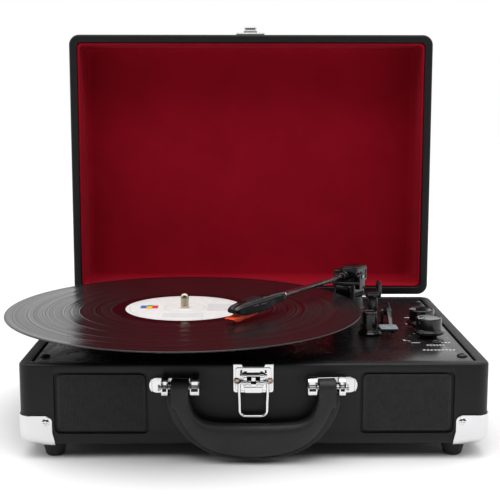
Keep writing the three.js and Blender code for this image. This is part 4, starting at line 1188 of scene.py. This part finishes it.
def cartridge():
    """Red stylus body with its cantilever and point."""
    body = slab("body", [(38.2, -3.2, 0.3), (38.2, -8.2), (50, -9.6), (61, -11.1), (65.4, -10.9),
                         (69.0, -8.6), (66.4, -7.8, 0.4), (58.4, -7.4, 0.3), (58.4, -3.2, 0.3)], 0.8, 4,
                         -4.8, 4.8, STAND_UP, 0.6, 3)
    tip = RECORD_TOP + 0.1 - PIVOT.z
    lever = rod("cantilever", [(60.4, 0, -10.6), (63.4, 0, -11.6), (64.8, 0, tip + 0.35)], 0.35, None, 12)
    point = lathe("point", [(0, tip), (0.3, tip + 0.7), (0.3, tip + 1.2), (0, tip + 1.3)], move(64.9, 0, 0),
                  16)
    guard = slab("guard", [(38.4, -7.4), (52, -9.4), (52, -10.2), (38.4, -8.6)], 0.3, 3, -5.1, 5.1,
                 STAND_UP, 0.25, 2)
    fuse(body, lever, point, guard)
    finish(body, "stylus_body", "red", "tonearm", ["cartridge"], at=SHELL)


# ---- arm rest and cueing -----------------------------------------------------------------
def arm_rest():
    """Post with a clip for the parked arm, and the ears that carry the cue lever."""
    z = DECK_TOP
    rest_reach = 69.0
    rest = PIVOT + Vector((cos(PARK_TURN), sin(PARK_TURN), 0)) * rest_reach
    cue_x, cue_y, cue_z = CUE
    base = prism("base", rounded_rect(20, 14, 4, 6), z + 0.3, z + 2.6, stand(rest.x, rest.y, 0), 0.6, 3)
    post = prism("post", rounded_rect(8, 7, 2, 6), z + 2, PIVOT.z - 6.6, stand(rest.x, rest.y, 0), 0.5, 3)
    clip = fillet([(-5.5, -8), (6.6, -8), (7.2, 0), (6.3, 5.5), (4.8, 6.7), (3.9, 5.5), (3.9, -3.2),
                   (-2.6, -3.2), (-5, -3.2), (-6, -5)], 1.2, 5)
    fork = prism("fork", clip, -3.4, 3.4, None, 0.5, 3)
    fork.data.transform(stand(rest.x, rest.y, PIVOT.z, PARK_TURN + pi / 2) @ STAND_UP)
    foot = prism("foot", rounded_rect(24, 14, 3, 6), z + 0.3, z + 2.4,
                 stand((cue_x + rest.x) / 2, cue_y, 0), 0.5, 3)
    parts = [post, fork, foot]
    for side in (-1, 1):
        ear = slab("ear", both([(4, z + 2 - cue_z, 0.2), (3.8, 1.6), (2, 3.2)]), 1.6, 5, -0.9, 0.9, None,
                   0.3, 3)
        ear.data.transform(move(cue_x + side * 3.4, cue_y, cue_z) @ rotated(90, "Z") @ STAND_UP)
        parts.append(ear)
    parts.append(rod("pin", [(cue_x - 5, cue_y, cue_z), (cue_x + 5, cue_y, cue_z)], 1.2, None, 20))
    fuse(base, *parts)
    finish(base, "rest_and_bracket", "gloss", "case", ["arm_rest"])


def cue_damper():
    """Barrel with a stepped flange beside the cue lever."""
    at = middle("cue_damper")
    profile = [(0, 0, 0), (9.8, 0, 0.3), (9.8, 1.7, 0.7), (8.6, 2.3, 0.4), (8.4, 3.3, 0.4), (6.5, 3.8, 0.3),
               (6.3, 16.6, 0.3), (5.9, 17.0, 0.2), (6.1, 17.4, 0.2), (6.1, 19.2, 0.7), (4.4, 19.8, 0.3),
               (4.2, 19.2, 0.2), (0, 19.2, 0)]
    finish(spun("barrel", profile, 0.3, 3, stand(at.x, at.y, DECK_TOP + 0.3), 56), "damper_barrel", "gloss",
           "case", ["cue_damper"])


def cue_lever():
    """Bent lever with a ribbed paddle for the finger."""
    lever_at = move(*CUE)
    outline = fillet([(3, 9, 1.4), (-4, 10), (-16, 5.5), (-26, -1), (-31, -5.5), (-44, -5.8, 0.4),
                      (-44, -8.8, 0.4), (-30, -8.8), (-23, -5), (-14, 1.2), (-4, 5), (-3.2, -3, 1.6),
                      (3.2, -3, 1.6)], 3, 6)
    arm = prism("lever", outline, -1.6, 1.6, None, 0.6, 4)
    arm.data.transform(rotated(90, "Z") @ STAND_UP)
    cut(arm, bore(1.4, -9, 9, ALONG_X, 24))
    finish(arm, "lift_lever", "gloss", "cue", ["cue_lever"], at=lever_at)
    paddle = slab("paddle", taper(7.4, -7.4, 7.6, 7.4), 2.0, 6, 0.0, 1.6, None, 0.7, 4)
    tray = slab("tray", taper(7.0, -7.0, 7.2, 7.0), 1.8, 6, -1.8, 0.2, None, 0.5, 3)
    ribs = [block("rib", 10.4, 0.9, 0.8, (0, y, 1.6), 0.3) for y in (-4.4, -1.6, 1.2, 4.0)]
    fuse(paddle, *ribs)
    place = lever_at @ move(-3.2, -38, -5.8)
    finish(paddle, "lift_paddle", "grey", "cue", at=place)
    finish(tray, "lift_paddle_tray", "gloss", "cue", at=place)


def lift_rail():
    """Curved bar under the arm tube, on a post."""
    ring = arc(0, 0, RAIL_R + 1.6, -132, -73, 24) + arc(0, 0, RAIL_R - 1.6, -73, -132, 24)
    bar = prism("bar", ring, PIVOT.z - 5.6, PIVOT.z - 3.0, stand(PIVOT.x, PIVOT.y, 0), 0.5, 3)
    pad = prism("pad", arc(0, 0, RAIL_R + 1, -131, -78, 22) + arc(0, 0, RAIL_R - 1, -78, -131, 22),
                PIVOT.z - 3.1, PIVOT.z - 2.85, stand(PIVOT.x, PIVOT.y, 0), 0.15, 2)
    turn = PARK_TURN - radians(8)
    x, y = PIVOT.x + RAIL_R * cos(turn), PIVOT.y + RAIL_R * sin(turn)
    fuse(bar, pad, rod("post", [(x, y, PIVOT.z - 40), (x, y, PIVOT.z - 4)], 1.9, None, 28))
    finish(bar, "lift_rail", "satin", "lifter", ["lift_bar"])


# ---- controls ----------------------------------------------------------------------------
def knobs():
    """Skirted knobs with a raised pointer."""
    h = high("volume_knob").z - DECK_TOP - 0.3
    profile = [(0, -8, 0), (1.45, -8, 0), (1.45, 0.8, 0.2), (7.2, 0.8, 0.4), (7.6, 2.2, 0.6),
               (12.5, 3.4, 0.8), (13.1, 4.6, 0.7), (12.7, 6.0, 0.5), (11.2, 6.5, 0.5), (10.7, 7.6, 0.5),
               (10.75, h - 0.6, 0.6), (9.9, h, 0.4), (8.6, h - 0.35, 1.2), (0, h - 0.7, 0)]
    for node, body, turn in (("volume_knob", "volume", 205), ("function_knob", "function", 180)):
        at = middle(node)
        place = stand(at.x, at.y, DECK_TOP, radians(turn))
        knob = spun("knob", profile, 0.4, 4, place, 96)
        finish(knob, node + "_cap", "gloss", body, [node])
        mark = block("mark", 5.2, 0.9, 0.5, (8.0, 0, h - 0.25), 0.15, place)
        finish(mark, node + "_pointer", "print", body)


def switches():
    """Saddle-shaped slide buttons."""
    for node, body in (("speed_switch", "speed"), ("auto_stop_switch", "auto_stop")):
        at = middle(node)
        base = high(node).z - 4.9
        outline = fillet(both([(2.5, -2.2, 0.2), (2.1, 4.9, 0.6), (0.7, 4.1, 0.6)]), 0.5, 4)
        grip = prism("grip", outline, -1.8, 1.8, STAND_UP, 0.35, 3)
        tongue = block("tongue", 3, 2, 8, (0, 0, -4), 0.2)
        wings = block("wings", 9, 7, 1.2, (0, 0, -5.4), 0.3)
        fuse(grip, tongue, wings)
        finish(grip, node + "_button", "satin", body, [node], at=stand(at.x, at.y, base))


def stroke(points, width=0.5):
    """A printed line: a flat ribbon just proud of the deck."""
    thing = rod("ink", [(x, y, DECK_TOP) for x, y in points], width / 2, None, 8)
    for v in thing.data.vertices:
        v.co.z = DECK_TOP + 0.02 + (v.co.z - DECK_TOP) * 0.12
    return thing


def deck_print():
    """Plain graduations and bars beside the controls; there are no words."""
    marks = []
    vol = middle("volume_knob")

    def row(x0, x1, y, count, width):
        """A bar broken into short dashes, slanting as printed."""
        step = (x1 - x0) / count
        for i in range(count):
            a = x0 + step * i
            marks.append(stroke([(a, y - 0.5), (a + step * 0.62, y + 0.5)], width))

    for i in range(9):
        a = radians(236 - i * 35)
        if 40 < i * 35 < 250:
            inner, outer = 14.8, 16.2 if i % 4 else 17.4
            marks.append(stroke([(vol.x + inner * cos(a), vol.y + inner * sin(a)),
                                 (vol.x + outer * cos(a), vol.y + outer * sin(a))], 0.5))
    marks.append(stroke([(124.6, -49.0), (130.0, -54.8)], 0.6))
    marks.append(stroke([(124.8, -50.2), (126.2, -52.4)], 1.6))
    row(130.0, 137.4, -59.8, 4, 1.5)
    row(140.8, 156.2, -67.8, 6, 2.2)
    row(154.2, 162.2, -60.0, 3, 1.8)
    row(134.9, 161.6, -83.8, 9, 2.2)
    for y, x0, x1 in ((35.0, 139.4, 144.6), (9.4, 136.0, 138.6)):
        marks.append(stroke([(x0, y), (x1, y)], 1.6))
    for node, count in (("speed_switch", 3), ("auto_stop_switch", 2)):
        at = middle(node)
        for k in range(count):
            x = at.x - 4 + 8 * k / (count - 1)
            marks.append(stroke([(x, at.y - 5.2), (x, at.y - 7.4)], 0.6))
    fuse(*marks)
    finish(marks[0], "deck_print", "print", "case")


def headphone_jack():
    """Ringed jack in the deck."""
    at = middle("headphone_jack")
    profile = [(1.8, -13), (3.0, -13), (3.0, 0.3), (4.4, 0.3, 0.2), (4.2, 1.5, 0.5), (2.6, 1.7, 0.3),
               (1.8, 1.0, 0.3)]
    profile = fillet([(p[0], p[1], p[2] if len(p) > 2 else 0) for p in profile], 0.2, 3)
    finish(lathe("jack", profile, stand(at.x, at.y, DECK_TOP), 48), "phones_jack", "gloss", "case",
           ["headphone_jack"])


def rear_sockets():
    """Power inlet and two phono sockets in the rear wall."""
    z = middle("rear_sockets").z
    left, right = low("rear_sockets").x, high("rear_sockets").x
    plate = prism("plate", rounded_rect(right - left, 17, 2.5, 6), -0.3, 1.7, None, 0.45, 3)
    to_back = rear((left + right) / 2, BACK, z)
    plate.data.transform(to_back)
    inlet = lathe("inlet", fillet([(2.8, -12, 0), (4.0, -12, 0.3), (4.0, 1.8, 0), (5.6, 1.8, 0.3),
                                   (5.6, 2.4, 0.3), (2.8, 2.4, 0.4)], 0.2, 3), rear(INLET_X, BACK, z), 40)
    cut(plate, bore(3.9, -20, 20, rear(INLET_X, BACK, z), 32))
    body = block("body", 26, 13, 12, (PHONO_X, BACK - 6.6, z), 0.6)
    fuse(plate, inlet, body)
    finish(plate, "socket_plate", "satin", "case", ["rear_sockets"])
    pin = rod("pin", [(INLET_X, BACK - 11.5, z), (INLET_X, BACK - 2, z)], 0.8, None, 16)
    finish(pin, "inlet_pin", "steel", "case")
    for side, name, look in ((-1, "left", "print"), (1, "right", "red")):
        place = rear(PHONO_X + side * 7, BACK, z)
        sleeve = lathe("sleeve", fillet([(3.0, 1.6, 0), (4.1, 1.6, 0.2), (4.1, 8.5, 0.4), (3.0, 8.5, 0.3)],
                                        0.2, 3), place, 40)
        finish(sleeve, "phono_sleeve_" + name, "steel", "case")
        core = lathe("core", fillet([(1.7, 1.6, 0), (2.9, 1.6, 0.1), (2.9, 7.9, 0.3), (1.7, 7.9, 0.3)], 0.2,
                                    3), place, 32)
        finish(core, "phono_core_" + name, look, "case")


# ---- lid ---------------------------------------------------------------------------------
LID = move(0, HINGE_Y, HINGE_Z) @ Matrix.Rotation(LID_LEAN, 4, "X")
LID_RIM, LID_LOW, LID_DEPTH, LID_WALL, LID_PANEL = 1.7, 2.4, 56.0, 7.6, 5.0


def lid_ring(y, inset, r):
    """A rounded ring round the lid, at a depth from its rim."""
    return [(x, y, z + LID_LOW + CASE_D / 2) for x, z in rounded_rect(CASE_W - 2 * inset,
                                                                      CASE_D - 2 * inset, max(r, 1.0), 14)]


def lid():
    """Wrapped lid shell and the flocked lining inside it."""
    back, e = LID_RIM + LID_DEPTH, 2.6
    turns = (0, 0.32, 0.64, 0.96, 1.28, 1.571)
    profile = [(LID_RIM + 0.9 - 0.9 * sin(a), LID_WALL - 0.9 + 0.9 * cos(a)) for a in turns]
    profile += [(LID_RIM + 2.2 - 2.2 * cos(a), 2.2 - 2.2 * sin(a)) for a in turns]
    profile += [(back - e + e * sin(a), e - e * cos(a)) for a in turns]
    rings = [lid_ring(back - LID_PANEL, LID_WALL, CASE_R - LID_WALL + 2)]
    rings += [lid_ring(y, inset, CASE_R - inset + (2 if inset > 5 else 0)) for y, inset in profile]
    shell = loft("lid", rings, LID)
    finish(shell, "lid_case", "leatherette", "lid", ["lid_shell"])
    floor = back - LID_PANEL - 0.3
    lip, t = LID_RIM + 1.0, 2.2
    outer_in = LID_WALL + 0.3
    round_r = 5.0
    inner = [(floor - t - round_r + round_r * sin(a), outer_in + t
              + round_r - round_r * cos(a)) for a in turns]
    rings = [lid_ring(floor, outer_in, 4.4), lid_ring(lip + 0.6, outer_in, 4.4),
             lid_ring(lip + 0.15, outer_in + 0.4, 4.4), lid_ring(lip, outer_in + 1.0, 4.4),
             lid_ring(lip + 0.2, outer_in + t - 0.4, 4.6), lid_ring(lip + 0.8, outer_in + t, 4.8)]
    for y in (10, 22, 34):
        rings.append(lid_ring(lip + y, outer_in + t, 4.8))
    rings += [lid_ring(y, inset, 4.8 + (inset - outer_in - t) * 0.5) for y, inset in inner]
    for inset in (40, 80):
        rings.append(lid_ring(floor - t, inset, 20))
    lining = loft("lining", rings, LID)
    finish(lining, "lid_flock", "flock", "lid", ["lid_lining"], sharp=60)


def lid_hook():
    """Catch plate on the free edge with the claw that the latch draws on."""
    top = LID_LOW + CASE_D + 0.3
    x0, y0 = FITTINGS_X, LID_RIM
    base = slab("base", taper(14, 2, 14, 14), 2.4, 6, top, top + 1.5, move(x0, y0, 0), 0.5, 3)
    ears = [prism("ear", arc(s * 10.6, 8, 3.4, 0, 345, 20), top + 1.2, top + 2.2, move(x0, y0, 0), 0.4,
                  3) for s in (-1, 1)]
    raised = slab("raised", taper(7, 2.6, 6.4, 11.4), 1.6, 5, top + 1, top + 3.9, move(x0, y0, 0), 0.7, 3)
    hook = [(-0.2, 0, 0.3), (5.8, 0, 0.3), (6.2, 4.2), (4.8, 6.0), (0.4, 6.6), (-1.1, 5.4, 0.5),
            (-0.6, 4.6, 0.5), (1.4, 4.4), (2.6, 3.2), (2.2, 1.8)]
    claw = slab("claw", hook, 1.0, 5, -6, 6, None, 0.5, 3)
    claw.data.transform(move(x0, y0 + 4, top + 1.6) @ rotated(90, "Z") @ STAND_UP)
    fuse(base, *ears, raised, claw)
    finish(base, "lid_hook", "chrome", "lid", ["lid_catch"], at=LID)
    for side, name in ((-1, "left"), (1, "right")):
        recessed_cross("hook_screw_" + name, LID @ move(x0 + side * 10.6, y0 + 8, top + 2.1), 2.1, 0.9,
                       "chrome", "lid")


def hinges():
    """Leaf hinges with three screws in each leaf and a pin through the knuckles."""
    for name in ("left", "right"):
        x = middle("hinge_leaf_case_" + name).x
        t = 1.0
        sheet = slab("leaf", [(-20, -22.2), (20, -22.2), (20, -2.4, 0.4), (-20, -2.4, 0.4)], 3, 6, 0, t,
                     None, 0.3, 3)
        sheet.data.transform(move(x, BACK + 0.3, HINGE_Z) @ rotated(180, "Z") @ STAND_UP)
        parts = []
        for side in (-1, 1):
            a, b = x + side * 7.4, x + side * 19.4
            parts.append(rod("knuckle", [(a, HINGE_Y, HINGE_Z), (b, HINGE_Y, HINGE_Z)], 2.0, None, 32))
            parts.append(block("web", 12, 1.7, 3.4, ((a + b) / 2, BACK + 1.15, HINGE_Z - 1.9), 0.2))
        parts.append(rod("pin", [(x - 20.4, HINGE_Y, HINGE_Z), (x + 20.4, HINGE_Y, HINGE_Z)], 1.0, None, 20))
        fuse(sheet, *parts)
        finish(sheet, "hinge_case_" + name, "steel", "case", ["hinge_leaf_case_" + name])
        for k, dx in enumerate((-14, 0, 14)):
            turned = rear(x + dx, BACK + 1.3, HINGE_Z - 15)
            recessed_cross(f"hinge_case_screw_{name}_{k}", turned, 2.6, 0.9, "steel")
        low_edge = LID_LOW - 0.3
        leaf = slab("leaf", [(-20, LID_RIM + 4, 0.4), (20, LID_RIM + 4, 0.4), (20, LID_RIM + 21),
                             (-20, LID_RIM + 21)], 3, 6, low_edge - t, low_edge, move(x, 0, 0), 0.3, 3)
        bridge = block("bridge", 14, LID_RIM + 6.5, t, (x, (LID_RIM + 6.5) / 2, low_edge - t / 2), 0.15)
        knuckle = lathe("knuckle", fillet([(1.15, -7, 0.1), (2.0, -7, 0.2), (2.0, 7, 0.2), (1.15, 7, 0.1)],
                                          0.2, 2), move(x, 0, 0) @ ALONG_X, 32)
        fuse(leaf, bridge, knuckle)
        finish(leaf, "hinge_lid_" + name, "steel", "lid", ["hinge_leaf_lid_" + name], at=LID)
        for k, dx in enumerate((-14, 0, 14)):
            turned = LID @ move(x + dx, LID_RIM + 13, low_edge - t) @ rotated(180, "X")
            recessed_cross(f"hinge_lid_screw_{name}_{k}", turned, 2.6, 0.9, "steel", "lid")


# ---- everything --------------------------------------------------------------------------
case_walls()
deck()
feet_and_screws()
corner_guards()
grilles()
handle()
brackets()
latch_base()
draw_lever()
wire_bail()
turntable()
tonearm_mount()
rear_block()
arm_pipe()
headshell()
cartridge()
arm_rest()
cue_damper()
cue_lever()
lift_rail()
knobs()
switches()
deck_print()
headphone_jack()
rear_sockets()
lid()
lid_hook()
hinges()
for node, look in (("bottom_panel", "satin"), ("speaker_left", "rubber"), ("speaker_right", "rubber"),
                   ("motor", "steel"),
                   ("drive_belt", "rubber"), ("circuit_board", "board"), ("control_board", "board"),
                   ("motor_pulley", "brass")):
    dress(node, look)


# ---- stage, light and camera -------------------------------------------------------------
def floor():
    """A wide pale floor just under the feet."""
    thing = make("floor", [(-6000, -6000, 0), (6000, -6000, 0), (6000, 6000, 0), (-6000, 6000, 0)],
                 [(0, 1, 2, 3)], Matrix.Scale(MM, 4) @ move(0, 0, low("foot_front_left").z - 0.05))
    s = Shader("pale_floor", (0.9, 0.9, 0.9), 0.6, Specular_IOR_Level=0.2)
    s.color(s.ramp(s.noise(3, 2), (0.3, (0.89, 0.89, 0.89)), (0.7, (0.91, 0.91, 0.91))))
    thing.data.materials.append(s.mat)


def area_light(name, place, target, size, watts):
    """A soft box aimed at a target."""
    light = bpy.data.lights.new(name, "AREA")
    light.energy = watts
    light.shape = "RECTANGLE"
    light.size = light.size_y = size
    thing = bpy.data.objects.new(name, light)
    bpy.context.collection.objects.link(thing)
    thing.location = place
    thing.rotation_euler = (Vector(target) - Vector(place)).to_track_quat("-Z", "Y").to_euler()


def lights():
    """A white room that is dimmer towards the viewer, with soft boxes above and at the sides."""
    world = bpy.data.worlds.new("studio")
    bpy.context.scene.world = world
    world.use_nodes = True
    tree = world.node_tree
    new, link = tree.nodes.new, tree.links.new
    background = tree.nodes["Background"]
    along = new("ShaderNodeVectorMath")
    along.operation = "DOT_PRODUCT"
    along.inputs[1].default_value = (0, 0.72, 0.69)
    towards = new("ShaderNodeTexCoord")
    ramp = new("ShaderNodeValToRGB")
    span = new("ShaderNodeMapRange")
    span.inputs[1].default_value = -1.0
    link(towards.outputs["Generated"], along.inputs[0])
    link(along.outputs["Value"], span.inputs[0])
    link(span.outputs[0], ramp.inputs["Fac"])
    stops = ((0.0, 0.03), (0.42, 0.05), (0.58, 0.70), (0.75, 1.0))
    while len(ramp.color_ramp.elements) < len(stops):
        ramp.color_ramp.elements.new(0.5)
    for element, (at, level) in zip(ramp.color_ramp.elements, stops):
        element.position = at
        element.color = (level, level, level, 1)
    link(ramp.outputs["Color"], background.inputs["Color"])
    background.inputs["Strength"].default_value = 1.0
    plain = new("ShaderNodeBackground")
    plain.inputs["Color"].default_value = (1, 1, 1, 1)
    seen = new("ShaderNodeLightPath")
    blend = new("ShaderNodeMixShader")
    link(seen.outputs["Is Camera Ray"], blend.inputs[0])
    link(background.outputs[0], blend.inputs[1])
    link(plain.outputs[0], blend.inputs[2])
    link(blend.outputs[0], tree.nodes["World Output"].inputs["Surface"])
    sun = bpy.data.lights.new("skylight", "SUN")
    sun.energy = 1.15
    sun.angle = radians(60)
    sky = bpy.data.objects.new("skylight", sun)
    sky.rotation_euler = (radians(18), 0, 0)
    bpy.context.collection.objects.link(sky)
    area_light("overhead", (0, -0.3, 1.6), (0, 0, 0), 1.2, 7)
    area_light("left_window", (-1.5, -0.5, 0.9), (0, 0, 0.08), 0.7, 3.5)
    area_light("right_window", (1.5, -0.5, 0.9), (0.05, 0, 0.08), 0.7, 3.5)


def camera():
    """The camera at the height and angle of the photograph."""
    data = bpy.data.cameras.new("camera")
    data.sensor_width = 36
    data.lens = 71.40
    data.clip_end = 50
    thing = bpy.data.objects.new("camera", data)
    bpy.context.collection.objects.link(thing)
    eye = (-0.00988, -0.85237, 0.25912)
    pitch, yaw, roll = 0.1503, 0.0089, 0.0008
    ahead = Vector((sin(yaw) * cos(pitch), cos(yaw) * cos(pitch), -sin(pitch)))
    right = ahead.cross(Vector((0, 0, 1))).normalized()
    up = right.cross(ahead)
    right, up = (right * cos(roll) + up * sin(roll), up * cos(roll) - right * sin(roll))
    turn = Matrix((right, up, -ahead)).transposed().to_4x4()
    thing.matrix_world = move(*eye) @ turn
    bpy.context.scene.camera = thing


floor()
lights()
camera()
view = bpy.context.scene.view_settings
view.view_transform = "Standard"
view.look = "None"
